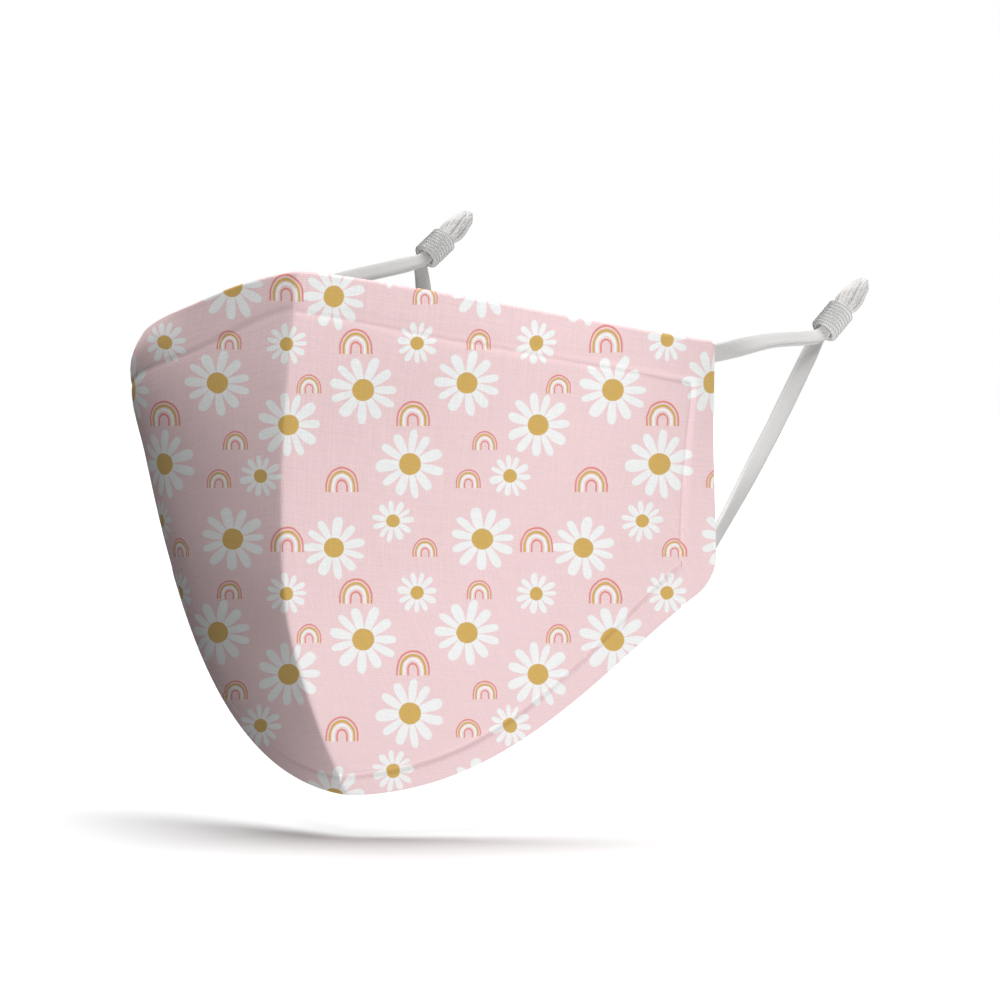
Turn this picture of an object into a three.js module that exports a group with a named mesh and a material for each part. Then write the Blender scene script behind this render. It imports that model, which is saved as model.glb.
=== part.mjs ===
// A shaped cloth face mask in the form that it takes on a face: two curved halves with a centre
// seam, a hem along the top and the bottom, a casing down each side and two adjustable ear loops.
// Millimetres. +Z is up, the wearer faces -Y and +X is the wearer's left. The origin is the top
// end of the centre seam, where the mask rests on the bridge of the nose.
import * as THREE from "three";

// Main form of the cloth
const seamHeight = 137.4; // drop of the centre seam from the nose to the chin
const sideHeight = 64; // length of the straight side edge
const sideDrop = 17.6; // top of the side edge below the nose
const halfWidth = 83.2; // centre plane to the side edge
const depth = 84; // nose back to the side edge

// Cloth walls, folded edges and the line that is pressed between them
const panelWall = 1.6;
const hemWall = 2.2;
const casingWall = 2.8;
const noseSeamWidth = 9.6; // the nose band's width at the centre seam
const noseLeftWidth = 11; // and over the wearer's left and right cheek
const noseRightWidth = 15;
const noseWideFrom = 0.35; // share of the way to the side from which it is that wide
const chinSeamWidth = 8; // the chin hem's width at the centre seam
const chinSideWidth = 12; // and at the casings
const chinNarrowTo = 0.2; // shares of the way to the side between which it widens
const chinWideFrom = 0.9;
const casingWidth = 13;
const hemProud = 0.4; // the folded hem stands out from the panel by this much
const casingProud = 0.45;
const seamGap = 0.3; // clearance between two pieces of cloth
const topCornerRadius = 2;
const bottomCornerRadius = 6.5;
const notchRadius = 2.5; // rounding of the casing's inner lower corner

// Elastic of the ear loops
const elasticWidth = 5;
const elasticThickness = 1.8;
const gripWidth = 4.0; // width of a strand where the adjuster squeezes it
const gripThickness = 1.6;
const sectionSquareness = 3.2; // 2 is an oval, more is squarer
const strandGap = 0.4; // between the two strands inside the adjuster
const tuckLength = 9; // elastic held behind the casing
const tuckGap = 0.3;
const lowerTuckSlant = 0.5; // the lower strand's end runs down as it runs in behind the casing
const upperStrandDrop = 2.4; // middle of the upper strand below the side edge's top
const lowerStrandRise = 8.5; // middle of the lower strand above the side edge's foot
const loopReach = 111; // side edge back to the adjuster
const mouthRun = 1.6; // a strand leaves the adjuster straight for this length
const tailLength = 15; // folded end that stands out of the adjuster
const tailWidth = 7.0; // the slack elastic of the tail is wider and thicker
const tailThickness = 2.6;
const tailTipWidth = 3.6; // the tail draws in again towards its round tip
const turnStart = 0.1; // shares of a strand between which its flat side turns
const turnEnd = 0.55;
const squeezeStart = 0.9; // share of a strand from which the adjuster squeezes it

// Adjuster sleeve
const adjusterLength = 9.5;
const sleeveWall = 1.6; // bore to the crest of a rib
const ribDepth = 1.1;
const ribCount = 8;
const crestStart = 0.3; // a rib's crest, as shares of its pitch
const crestEnd = 0.7;
const boreClearance = 0.3;

// Fineness of the faceted surfaces
const cellsAcross = 20;
const cellsDown = 20;
const hemCells = 2;
const casingCells = 7;
const lengthSteps = 32;
const sectionSides = 10;
const strandSteps = 24;
const foldSteps = 6;
const adjusterSides = 18;
const normalStep = 0.001; // step over the surface between the points that give its slope
const borderPasses = 4; // times that a patch's places are settled between its bent borders

// Sections of the form from the top edge to the bottom edge. seamDrop and sideShare run along the
// seam's and the side edge's height, seamBack and sideBack are shares of the depth, the two turns
// are in degrees from straight across, and the reaches and falls shape the curve between them.
const sections = [
  { seamDrop: 0.0, seamBack: 0.0, sideShare: 0.0, sideBack: 0.997,
    seamTurn: 16, sideTurn: 83, seamReach: 0.32, sideReach: 0.42, seamFall: 0.29, sideFall: 0.12 },
  { seamDrop: 0.2, seamBack: -0.079, sideShare: 0.2, sideBack: 0.994,
    seamTurn: 21, sideTurn: 87, seamReach: 0.38, sideReach: 0.45, seamFall: 0.3, sideFall: 0.26 },
  { seamDrop: 0.42, seamBack: -0.119, sideShare: 0.4, sideBack: 0.996,
    seamTurn: 27, sideTurn: 79, seamReach: 0.39, sideReach: 0.42, seamFall: 0.3, sideFall: 0.33 },
  { seamDrop: 0.64, seamBack: -0.082, sideShare: 0.6, sideBack: 1.001,
    seamTurn: 29, sideTurn: 70.5, seamReach: 0.4, sideReach: 0.4, seamFall: 0.26, sideFall: 0.36 },
  { seamDrop: 0.85, seamBack: 0.131, sideShare: 0.8, sideBack: 1.01,
    seamTurn: 26, sideTurn: 62.5, seamReach: 0.41, sideReach: 0.35, seamFall: 0.16, sideFall: 0.36 },
  { seamDrop: 1.0, seamBack: 0.352, sideShare: 1.0, sideBack: 1.022,
    seamTurn: 21, sideTurn: 50, seamReach: 0.4, sideReach: 0.27, seamFall: 0.01, sideFall: 0.31 },
];

// How each ear loop hangs. back, inward and rise place the adjuster as shares of loopReach from
// the top of the side edge, sag and bow bend the two strands, and the adjuster's own axis is
// lifted from level and turned towards the wearer's left, in degrees. facing is how far the flat
// side of the elastic is turned from straight ahead towards the wearer's left, in degrees. drop is
// how far the lower strand first falls straight down from the adjuster, as a share of loopReach.
const loopPoses = [
  { name: "left", side: 1, back: 1.0, inward: 0.02, rise: 0.075,
    sag: 0.0, bow: 0.015, lift: 43, turn: 32, facing: 23, drop: 0 },
  { name: "right", side: -1, back: 0.91, inward: 0.352, rise: 0.284,
    sag: -0.035, bow: 0.1, lift: 38, turn: 28, facing: 23, drop: 0.12 },
];

const printedCloth = new THREE.MeshStandardMaterial({ color: 0xedd0d2, roughness: 0.9, metalness: 0 });
const elastic = new THREE.MeshStandardMaterial({ color: 0xdfdedc, roughness: 0.8, metalness: 0 });
const silicone = new THREE.MeshStandardMaterial({ color: 0xe4e2df, roughness: 0.4, metalness: 0 });

const vector = (x, y, z) => new THREE.Vector3(x, y, z);
const radians = THREE.MathUtils.degToRad;
const along = (start, end, share) => start + (end - start) * share;

// The four control points of one section's curve, from the seam to the side edge.
function sectionCurve(section) {
  const seam = vector(0, section.seamBack * depth, -section.seamDrop * seamHeight);
  const side = vector(halfWidth, section.sideBack * depth, -sideDrop - section.sideShare * sideHeight);
  const chord = side.distanceTo(seam);
  const fall = side.z - seam.z;
  const seamWay = vector(Math.cos(radians(section.seamTurn)), Math.sin(radians(section.seamTurn)), 0);
  const sideWay = vector(Math.cos(radians(section.sideTurn)), Math.sin(radians(section.sideTurn)), 0);
  const seamHandle = seam.clone().addScaledVector(seamWay, section.seamReach * chord);
  seamHandle.z += section.seamFall * fall;
  const sideHandle = side.clone().addScaledVector(sideWay, -section.sideReach * chord);
  sideHandle.z -= section.sideFall * fall;
  return [seam, seamHandle, sideHandle, side];
}

const sectionCurves = sections.map(sectionCurve);

// A smooth place between the sections for one of the four control points. The rows are carried on
// in a straight line at both ends.
function handleBetween(handle, down) {
  const last = sectionCurves.length - 1;
  const row = Math.min(Math.floor(down * last), last - 1);
  const part = down * last - row;
  const start = sectionCurves[row][handle];
  const end = sectionCurves[row + 1][handle];
  const before = row > 0 ? sectionCurves[row - 1][handle] : start.clone().multiplyScalar(2).sub(end);
  const beyond = row + 2 <= last
    ? sectionCurves[row + 2][handle]
    : end.clone().multiplyScalar(2).sub(start);
  const smooth = (a, b, c, d) => b + 0.5 * part * (c - a
    + part * (2 * a - 5 * b + 4 * c - d + part * (3 * (b - c) + d - a)));
  return vector(
    smooth(before.x, start.x, end.x, beyond.x),
    smooth(before.y, start.y, end.y, beyond.y),
    smooth(before.z, start.z, end.z, beyond.z));
}

// A point of the left half's outer surface: across runs from the seam to the side edge and down
// from the top edge to the bottom edge, both from 0 to 1.
function surfacePoint(across, down) {
  const rest = 1 - across;
  return handleBetween(0, down).multiplyScalar(rest ** 3)
    .addScaledVector(handleBetween(1, down), 3 * across * rest ** 2)
    .addScaledVector(handleBetween(2, down), 3 * across ** 2 * rest)
    .addScaledVector(handleBetween(3, down), across ** 3);
}

// The outward normal there, and at the seam the mitre that both halves share.
function surfaceNormal(across, down) {
  const across0 = Math.max(across - normalStep, 0);
  const across1 = Math.min(across + normalStep, 1);
  const down0 = Math.max(down - normalStep, 0);
  const down1 = Math.min(down + normalStep, 1);
  const acrossWay = surfacePoint(across1, down).sub(surfacePoint(across0, down));
  const downWay = surfacePoint(across, down1).sub(surfacePoint(across, down0));
  const normal = downWay.cross(acrossWay).normalize();
  if (across > 0) {
    return normal;
  }
  return vector(0, normal.y, normal.z).divideScalar(normal.y ** 2 + normal.z ** 2);
}

// The share of a curve at which it has run a length, measured from its start.
function shareAtLength(curve, length) {
  let travelled = 0;
  let last = curve(0);
  for (let step = 1; step <= lengthSteps; step += 1) {
    const next = curve(step / lengthSteps);
    const stride = next.distanceTo(last);
    if (travelled + stride >= length) {
      return (step - 1 + (length - travelled) / stride) / lengthSteps;
    }
    travelled += stride;
    last = next;
  }
  return 1;
}

const downFromTop = (across, length) =>
  shareAtLength((share) => surfacePoint(across, share), length);
const downFromBottom = (across, length) =>
  1 - shareAtLength((share) => surfacePoint(across, 1 - share), length);
const acrossFromSide = (down, length) =>
  1 - shareAtLength((share) => surfacePoint(1 - share, down), length);

// The place of a grid point in a patch whose four borders bend with the surface.
function patchPlace(patch, side, shareAcross, shareDown) {
  let across = patch.seamBorder(0.5);
  let down = 0.5;
  for (let pass = 0; pass < borderPasses; pass += 1) {
    across = along(patch.seamBorder(down), patch.sideBorder(down), shareAcross);
    down = along(patch.topBorder(across, side), patch.bottomBorder(across, side), shareDown);
  }
  return [across, down];
}

// A closed solid between two grids of points, rows by columns, with a rim round their edge.
function solidBetween(outer, inner) {
  const rows = outer.length;
  const columns = outer[0].length;
  const points = [...outer.flat(), ...inner.flat()];
  const faces = [];
  const at = (layer, row, column) => layer * rows * columns + row * columns + column;
  const quad = (a, b, c, d) => faces.push(a, b, c, a, c, d);
  for (let row = 0; row + 1 < rows; row += 1) {
    for (let column = 0; column + 1 < columns; column += 1) {
      quad(at(0, row, column), at(0, row + 1, column),
        at(0, row + 1, column + 1), at(0, row, column + 1));
      quad(at(1, row, column), at(1, row, column + 1),
        at(1, row + 1, column + 1), at(1, row + 1, column));
    }
  }
  const rim = [];
  for (let column = 0; column < columns; column += 1) rim.push([0, column]);
  for (let row = 1; row < rows; row += 1) rim.push([row, columns - 1]);
  for (let column = columns - 2; column >= 0; column -= 1) rim.push([rows - 1, column]);
  for (let row = rows - 2; row > 0; row -= 1) rim.push([row, 0]);
  rim.forEach(([row, column], index) => {
    const [nextRow, nextColumn] = rim[(index + 1) % rim.length];
    quad(at(0, row, column), at(0, nextRow, nextColumn),
      at(1, nextRow, nextColumn), at(1, row, column));
  });
  return closedGeometry(points, faces);
}

// A geometry of points and triangles, with its faces pointing out.
function closedGeometry(points, faces) {
  const geometry = new THREE.BufferGeometry();
  geometry.setAttribute("position", new THREE.Float32BufferAttribute(
    points.flatMap((point) => point.toArray()), 3));
  geometry.setIndex(faces);
  return facingOut(geometry);
}

// The same geometry with its triangles turned over where they enclose a negative volume.
function facingOut(geometry) {
  const places = geometry.getAttribute("position");
  const faces = Array.from(geometry.getIndex().array);
  const corner = (index) => new THREE.Vector3().fromBufferAttribute(places, faces[index]);
  let volume = 0;
  for (let index = 0; index < faces.length; index += 3) {
    volume += corner(index).dot(corner(index + 1).cross(corner(index + 2)));
  }
  if (volume < 0) {
    geometry.setIndex(faces.reverse());
  }
  geometry.computeVertexNormals();
  return geometry;
}

// The outer and inner grids of a cloth patch on one half of the mask.
function clothGrids(patch, side) {
  const outer = [];
  const inner = [];
  for (let row = 0; row <= patch.rows; row += 1) {
    outer.push([]);
    inner.push([]);
    for (let column = 0; column <= patch.columns; column += 1) {
      const shareAcross = patch.spacing ? patch.spacing(column / patch.columns) : column / patch.columns;
      const [across, down] = patchPlace(patch, side, shareAcross, row / patch.rows);
      const point = surfacePoint(across, down);
      const normal = surfaceNormal(across, down);
      const top = point.clone().addScaledVector(normal, patch.proud);
      const bottom = point.clone().addScaledVector(normal, patch.proud - patch.wall);
      if (across === 0) {
        top.x = patch.seamInset;
        bottom.x = patch.seamInset;
      }
      top.x *= side;
      bottom.x *= side;
      outer[row].push(top);
      inner[row].push(bottom);
    }
  }
  return { outer, inner };
}

// Width of the nose band, from the seam to the side, on either half.
function noseWidth(across, side) {
  const cheekWidth = side > 0 ? noseLeftWidth : noseRightWidth;
  return along(noseSeamWidth, cheekWidth, THREE.MathUtils.smoothstep(across, 0, noseWideFrom));
}

// Width of the chin hem, from the seam to the side.
function chinWidth(across) {
  return along(chinSeamWidth, chinSideWidth,
    THREE.MathUtils.smoothstep(across, chinNarrowTo, chinWideFrom));
}

// One half's panel, inside the hems, the casing and the centre seam.
const panelPatch = {
  rows: cellsDown,
  columns: cellsAcross,
  wall: panelWall,
  proud: 0,
  seamInset: seamGap / 2,
  seamBorder: () => 0,
  sideBorder: (down) => acrossFromSide(down, casingWidth + seamGap),
  topBorder: (across, side) => downFromTop(across, noseWidth(across, side) + seamGap),
  bottomBorder: (across) => downFromBottom(across, chinWidth(across) + seamGap),
};

const nosePatch = {
  ...panelPatch,
  rows: hemCells,
  wall: hemWall,
  proud: hemProud,
  seamInset: 0,
  topBorder: () => 0,
  bottomBorder: (across, side) => downFromTop(across, noseWidth(across, side)),
};

const chinPatch = {
  ...nosePatch,
  topBorder: (across) => downFromBottom(across, chinWidth(across)),
  bottomBorder: () => 1,
};

// How far a round corner draws an edge in, at a distance from the corner's side.
function cornerDrop(distance, radius) {
  if (distance >= radius) {
    return 0;
  }
  return radius - Math.sqrt(radius ** 2 - (radius - distance) ** 2);
}

// The casing's outline is set by distances from the side edge, so its columns crowd at that edge
// to follow the round corners.
function casingDistance(across, down) {
  const edge = surfacePoint(1, down);
  return Math.min(edge.distanceTo(surfacePoint(across, down)), casingWidth);
}

const casingPatch = {
  rows: cellsDown,
  columns: casingCells,
  wall: casingWall,
  proud: casingProud,
  seamInset: 0,
  spacing: (share) => Math.sin(share * Math.PI / 2),
  seamBorder: (down) => acrossFromSide(down, casingWidth),
  sideBorder: () => 1,
  topBorder: (across) => downFromTop(across, cornerDrop(casingDistance(across, 0), topCornerRadius)),
  bottomBorder: (across) => downFromBottom(across,
    cornerDrop(casingDistance(across, 1), bottomCornerRadius)
    + cornerDrop(casingWidth - casingDistance(across, 1), notchRadius)),
};

function panel(side) {
  const { outer, inner } = clothGrids(panelPatch, side);
  return solidBetween(outer, inner);
}

function casing(side) {
  const { outer, inner } = clothGrids(casingPatch, side);
  return solidBetween(outer, inner);
}

// A hem runs right across: the right half's columns, reversed, and then the left half's.
function hem(patch) {
  const left = clothGrids(patch, 1);
  const right = clothGrids(patch, -1);
  const join = (rightRow, leftRow) => [...rightRow.slice(1).reverse(), ...leftRow];
  return solidBetween(
    left.outer.map((row, index) => join(right.outer[index], row)),
    left.inner.map((row, index) => join(right.inner[index], row)),
  );
}

// The frame of an adjuster: its centre, its axis, the way from the lower strand to the upper one,
// which the flat sides of both face, and the way across the strands.
function adjusterFrame(pose) {
  const topCorner = surfacePoint(1, 0);
  topCorner.x *= pose.side;
  const centre = topCorner.clone().add(vector(
    -pose.side * pose.inward * loopReach, pose.back * loopReach, pose.rise * loopReach));
  const level = Math.cos(radians(pose.lift));
  const axis = vector(
    level * Math.sin(radians(pose.turn)), level * Math.cos(radians(pose.turn)),
    Math.sin(radians(pose.lift)));
  const stack = vector(Math.sin(radians(pose.facing)), -Math.cos(radians(pose.facing)), 0);
  stack.addScaledVector(axis, -stack.dot(axis)).normalize();
  const across = axis.clone().cross(stack).normalize();
  return { centre, axis, stack, across };
}

// A strand's end behind the casing: places from the end of the elastic to the casing's edge, at a
// distance below the top of the side edge, and lower the further in where it slants.
function tuckPlaces(side, distanceDown, slant) {
  const behind = casingProud - casingWall - tuckGap - elasticThickness / 2;
  return [tuckLength, tuckLength / 2, 0].map((distance) => {
    const down = (distanceDown + slant * distance) / sideHeight;
    const across = acrossFromSide(down, distance);
    const normal = surfaceNormal(across, down);
    const place = surfacePoint(across, down).addScaledVector(normal, behind);
    place.x *= side;
    return place;
  });
}

// One strand from its end behind the casing to the mouth of the adjuster, as a smooth curve
// through chosen places. Its width turns evenly from the casing's edge to the adjuster. A strand
// with a drop first falls straight down from the adjuster, and one with a slant leaves the casing
// without first running straight out of it.
function strand(pose, frame, distanceDown, stackSign, bend, drop, slant) {
  const tuck = tuckPlaces(pose.side, distanceDown, slant);
  const edge = tuck[tuck.length - 1];
  const offset = (strandGap + gripThickness) / 2 * stackSign;
  const mouth = frame.centre.clone()
    .addScaledVector(frame.axis, -adjusterLength / 2)
    .addScaledVector(frame.stack, offset);
  const start = slant > 0 ? [] : [edge.clone().multiplyScalar(2).sub(tuck[tuck.length - 2])];
  const middle = edge.clone().lerp(mouth, 0.5).addScaledVector(bend, loopReach);
  const nearMouth = mouth.clone().addScaledVector(frame.axis, -mouthRun);
  const below = drop > 0 ? [nearMouth.clone().add(vector(0, 0, -drop * loopReach))] : [];
  const places = [...tuck, ...start, middle, ...below, nearMouth, mouth];
  const curve = new THREE.CatmullRomCurve3(places, false, "centripetal");
  const edgeWay = surfacePoint(1, 1).sub(surfacePoint(1, 0)).normalize();
  if (edgeWay.dot(frame.across) < 0) {
    edgeWay.negate();
  }
  const stations = [];
  for (let step = 0; step <= strandSteps; step += 1) {
    const share = step / strandSteps;
    const turned = THREE.MathUtils.smoothstep(share, turnStart, turnEnd);
    const squeezed = THREE.MathUtils.smoothstep(share, squeezeStart, 1);
    stations.push({
      centre: curve.getPointAt(share),
      wide: edgeWay.clone().lerp(frame.across, turned),
      width: along(elasticWidth, gripWidth, squeezed),
      thickness: along(elasticThickness, gripThickness, squeezed),
    });
  }
  return stations;
}

// The folded tail: from the adjuster's far mouth along the upper strand, round the fold and back.
function foldedTail(frame) {
  const squeezedOffset = (strandGap + gripThickness) / 2;
  const foldRadius = (strandGap + tailThickness) / 2;
  const farMouth = adjusterLength / 2;
  const foldStart = farMouth + tailLength - foldRadius - tailThickness / 2;
  const place = (onAxis, offset, width, thickness) => ({
    centre: frame.centre.clone()
      .addScaledVector(frame.axis, onAxis)
      .addScaledVector(frame.stack, offset),
    wide: frame.across.clone(),
    width,
    thickness,
  });
  const half = (sign) => [
    place(0, squeezedOffset * sign, gripWidth, gripThickness),
    place(farMouth, squeezedOffset * sign, gripWidth, gripThickness),
    place(farMouth + tailThickness, foldRadius * sign, tailWidth, tailThickness),
    place((farMouth + foldStart) / 2, foldRadius * sign, tailWidth, tailThickness),
  ];
  const fold = [];
  const shoulderWidth = (tailWidth + tailTipWidth) / 2;
  for (let step = 0; step <= foldSteps; step += 1) {
    const angle = Math.PI * (0.5 - step / foldSteps);
    const drawnIn = Math.cos(angle);
    fold.push(place(foldStart + foldRadius * drawnIn, foldRadius * Math.sin(angle),
      shoulderWidth + (tailTipWidth - shoulderWidth) * drawnIn, tailThickness));
  }
  return [...half(1), ...fold, ...half(-1).reverse()];
}

// Points round the rounded flat section of the elastic, across its width and its thickness.
function sectionOutline(width, thickness) {
  const rounded = (value) => Math.sign(value) * Math.abs(value) ** (2 / sectionSquareness);
  const outline = [];
  for (let side = 0; side < sectionSides; side += 1) {
    const angle = (side + 0.5) / sectionSides * Math.PI * 2;
    outline.push([rounded(Math.cos(angle)) * width / 2, rounded(Math.sin(angle)) * thickness / 2]);
  }
  return outline;
}

// A closed band through a row of stations, each with a centre, a width direction and a section.
function band(stations) {
  const points = [];
  const faces = [];
  stations.forEach((station, index) => {
    const before = stations[Math.max(index - 1, 0)].centre;
    const beyond = stations[Math.min(index + 1, stations.length - 1)].centre;
    const way = beyond.clone().sub(before).normalize();
    const wide = station.wide.clone().addScaledVector(way, -station.wide.dot(way)).normalize();
    const thick = way.clone().cross(wide);
    for (const [x, y] of sectionOutline(station.width, station.thickness)) {
      points.push(station.centre.clone().addScaledVector(wide, x).addScaledVector(thick, y));
    }
  });
  const at = (station, side) => station * sectionSides + side % sectionSides;
  for (let station = 0; station + 1 < stations.length; station += 1) {
    for (let side = 0; side < sectionSides; side += 1) {
      faces.push(at(station, side), at(station, side + 1), at(station + 1, side + 1));
      faces.push(at(station, side), at(station + 1, side + 1), at(station + 1, side));
    }
  }
  const last = stations.length - 1;
  for (let side = 1; side + 1 < sectionSides; side += 1) {
    faces.push(at(0, 0), at(0, side + 1), at(0, side));
    faces.push(at(last, 0), at(last, side), at(last, side + 1));
  }
  return closedGeometry(points, faces);
}

function earLoop(pose) {
  const frame = adjusterFrame(pose);
  const sag = vector(0, 0, -pose.sag);
  const bow = vector(0, pose.bow, -pose.sag);
  const lowerEnd = sideHeight - lowerStrandRise;
  const upper = strand(pose, frame, upperStrandDrop, 1, sag, 0, 0);
  const lower = strand(pose, frame, lowerEnd, -1, bow, pose.drop, lowerTuckSlant);
  return band([...upper, ...foldedTail(frame), ...lower.reverse()]);
}

// The bore clears the two squeezed strands that lie in it.
function boreRadius() {
  const offset = (strandGap + gripThickness) / 2;
  const reach = sectionOutline(gripWidth, gripThickness).map(([x, y]) => Math.hypot(x, y + offset));
  return Math.max(...reach) + boreClearance;
}

// The ribbed sleeve, turned about +Y: a bore line and a row of rounded ribs.
function adjusterSleeve() {
  const bore = boreRadius();
  const crest = bore + sleeveWall;
  const groove = crest - ribDepth;
  const pitch = adjusterLength / ribCount;
  const foot = -adjusterLength / 2;
  const profile = [new THREE.Vector2(bore, foot)];
  for (let rib = 0; rib < ribCount; rib += 1) {
    const start = foot + rib * pitch;
    profile.push(new THREE.Vector2(groove, start));
    profile.push(new THREE.Vector2(crest, start + pitch * crestStart));
    profile.push(new THREE.Vector2(crest, start + pitch * crestEnd));
  }
  profile.push(new THREE.Vector2(groove, -foot));
  profile.push(new THREE.Vector2(bore, -foot));
  profile.push(profile[0].clone());
  return facingOut(new THREE.LatheGeometry(profile, adjusterSides));
}

function namedMesh(name, geometry, material) {
  const mesh = new THREE.Mesh(geometry, material);
  mesh.name = name;
  return mesh;
}

function adjuster(pose) {
  const frame = adjusterFrame(pose);
  const mesh = namedMesh(`adjuster_${pose.name}`, adjusterSleeve(), silicone);
  mesh.position.copy(frame.centre);
  mesh.quaternion.setFromUnitVectors(vector(0, 1, 0), frame.axis);
  return mesh;
}

function faceMask() {
  const mask = new THREE.Group();
  mask.name = "face_mask";
  mask.add(namedMesh("nose_band", hem(nosePatch), printedCloth));
  mask.add(namedMesh("chin_hem", hem(chinPatch), printedCloth));
  for (const pose of loopPoses) {
    mask.add(namedMesh(`front_panel_${pose.name}`, panel(pose.side), printedCloth));
    mask.add(namedMesh(`side_casing_${pose.name}`, casing(pose.side), printedCloth));
    mask.add(namedMesh(`ear_loop_${pose.name}`, earLoop(pose), elastic));
    mask.add(adjuster(pose));
  }
  return mask;
}

export default faceMask();
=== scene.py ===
import math

import bpy
import numpy as np
from bpy.props import FloatProperty, FloatVectorProperty, IntProperty, PointerProperty
from mathutils import Matrix, Vector


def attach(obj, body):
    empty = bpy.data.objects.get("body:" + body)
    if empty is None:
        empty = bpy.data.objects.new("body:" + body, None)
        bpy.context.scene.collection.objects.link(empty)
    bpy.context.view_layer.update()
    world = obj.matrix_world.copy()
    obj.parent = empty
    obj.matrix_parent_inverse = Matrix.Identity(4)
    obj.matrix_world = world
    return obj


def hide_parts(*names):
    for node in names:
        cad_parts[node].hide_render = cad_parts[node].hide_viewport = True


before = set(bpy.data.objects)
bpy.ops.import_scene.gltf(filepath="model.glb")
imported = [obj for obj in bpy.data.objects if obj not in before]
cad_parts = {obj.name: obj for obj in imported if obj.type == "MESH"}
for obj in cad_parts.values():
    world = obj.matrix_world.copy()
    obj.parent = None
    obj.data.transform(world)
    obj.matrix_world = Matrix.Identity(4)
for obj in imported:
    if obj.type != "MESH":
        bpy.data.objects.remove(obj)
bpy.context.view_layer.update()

bl_info = {
    "name": "Cloth Face Mask",
    "version": (1, 0, 0),
    "blender": (4, 5, 0),
    "location": "3D View > Sidebar > Face Mask",
    "description": "Dresses the shaped cloth face mask: printed cloth, folded edges, ear loops, adjusters",
    "category": "Object",
}

# Main form of the cloth, in metres. The wearer faces -Y and +X is the wearer's left.
SEAM_HEIGHT = 0.1374
SIDE_HEIGHT = 0.064
SIDE_DROP = 0.0176
HALF_WIDTH = 0.0832
DEPTH = 0.084

# Sections of the form from the top edge to the bottom edge: seam drop, seam back, side share,
# side back, seam turn, side turn, seam reach, side reach, seam fall, side fall. The turns are in
# degrees and the rest are shares of the main sizes or of the curve's chord.
SECTIONS = (
    (0.0, 0.0, 0.0, 0.997, 16, 83, 0.32, 0.42, 0.29, 0.12),
    (0.2, -0.079, 0.2, 0.994, 21, 87, 0.38, 0.45, 0.3, 0.26),
    (0.42, -0.119, 0.4, 0.996, 27, 79, 0.39, 0.42, 0.3, 0.33),
    (0.64, -0.082, 0.6, 1.001, 29, 70.5, 0.4, 0.4, 0.26, 0.36),
    (0.85, 0.131, 0.8, 1.01, 26, 62.5, 0.41, 0.35, 0.16, 0.36),
    (1.0, 0.352, 1.0, 1.022, 21, 50, 0.4, 0.27, 0.01, 0.31),
)

# Cloth walls and folded edges
PANEL_WALL = 0.0016
HEM_WALL = 0.0022
CASING_WALL = 0.0028
NOSE_SEAM_WIDTH = 0.0096
NOSE_LEFT_WIDTH = 0.011
NOSE_RIGHT_WIDTH = 0.015
NOSE_WIDE_FROM = 0.35
CHIN_SEAM_WIDTH = 0.008
CHIN_SIDE_WIDTH = 0.012
CHIN_NARROW_TO = 0.2
CHIN_WIDE_FROM = 0.9
CASING_WIDTH = 0.013
TOP_CORNER_RADIUS = 0.002
BOTTOM_CORNER_RADIUS = 0.0065
NOTCH_RADIUS = 0.0025
PIECE_GAP = 0.00004
CREASE_SOFTNESS = 0.0007
PEAK_SOFTNESS = 0.003
PEAK_SLOPE = 0.16
EDGE_LIFT = 0.0011
RIGHT_LIFT_FADE = (0.15, 0.4)
FOLD_SHARE = 0.46
CROWN_FADE = 0.02

# Where the swell of the nose band over the right cheek rises: distances from the seam, from the
# casing, from the pressed line and from the folded edge
PUFF_FROM_SEAM = (0.042, 0.066)
PUFF_FROM_SIDE = (0.004, 0.03)
PUFF_FROM_LINE = (0.0, 0.007)
PUFF_FROM_FOLD = (-0.002, 0.006)

# Elastic of the ear loops. The elastic's own folded end inside a tail is a slim core: length,
# width and thickness.
ELASTIC_WIDTH = 0.005
ELASTIC_THICKNESS = 0.0018
GRIP_WIDTH = 0.004
GRIP_THICKNESS = 0.0016
SECTION_SQUARENESS = 3.2
STRAND_GAP = 0.0004
TUCK_LENGTH = 0.009
TUCK_BEHIND = 0.00355
LOWER_TUCK_SLANT = 0.5
UPPER_STRAND_DROP = 0.0024
LOWER_STRAND_RISE = 0.0085
LOOP_REACH = 0.111
MOUTH_RUN = 0.0016
STRAND_TURNS = (0.1, 0.55)
SQUEEZED_FROM = 0.9
STRAND_STEPS = 130
FOLD_STEPS = 12
BAND_SIDES = 40
RIDGE_SHARE = 0.012
TAIL_LENGTH = 0.015
TAIL_WIDTH = 0.007
TAIL_THICKNESS = 0.0026
TAIL_CORE = (0.0105, 0.003, 0.0012)
YARN_RADIUS = 0.0007
YARN_BEND = 0.00016
ADJUSTER_LENGTH = 0.0095
ADJUSTER_BORE = 0.0027
SLEEVE_WALL = 0.0016

# How each ear loop hangs: side, back, inward and rise as shares of the reach, sag, bow, the
# adjuster's lift and turn and the turn of the elastic's flat side in degrees, and the lower
# strand's first fall from the adjuster as a share of the reach.
LOOP_POSES = {
    "left": (1, 1.0, 0.02, 0.075, 0.0, 0.015, 43, 32, 23, 0.0),
    "right": (-1, 0.91, 0.352, 0.284, -0.035, 0.1, 38, 28, 23, 0.12),
}

# The camera stands where the photograph was taken from: its turn round the mask, its height above
# level, its distance, and how far the top of the seam lies left of and above the picture's middle.
VIEW_TURN = math.radians(23)
VIEW_LIFT = math.radians(1.78)
VIEW_DISTANCE = 0.9
SEAM_TOP_RIGHT = -0.05166
SEAM_TOP_UP = 0.05805
LENS_MM = 126.7
SENSOR_MM = 36

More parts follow.
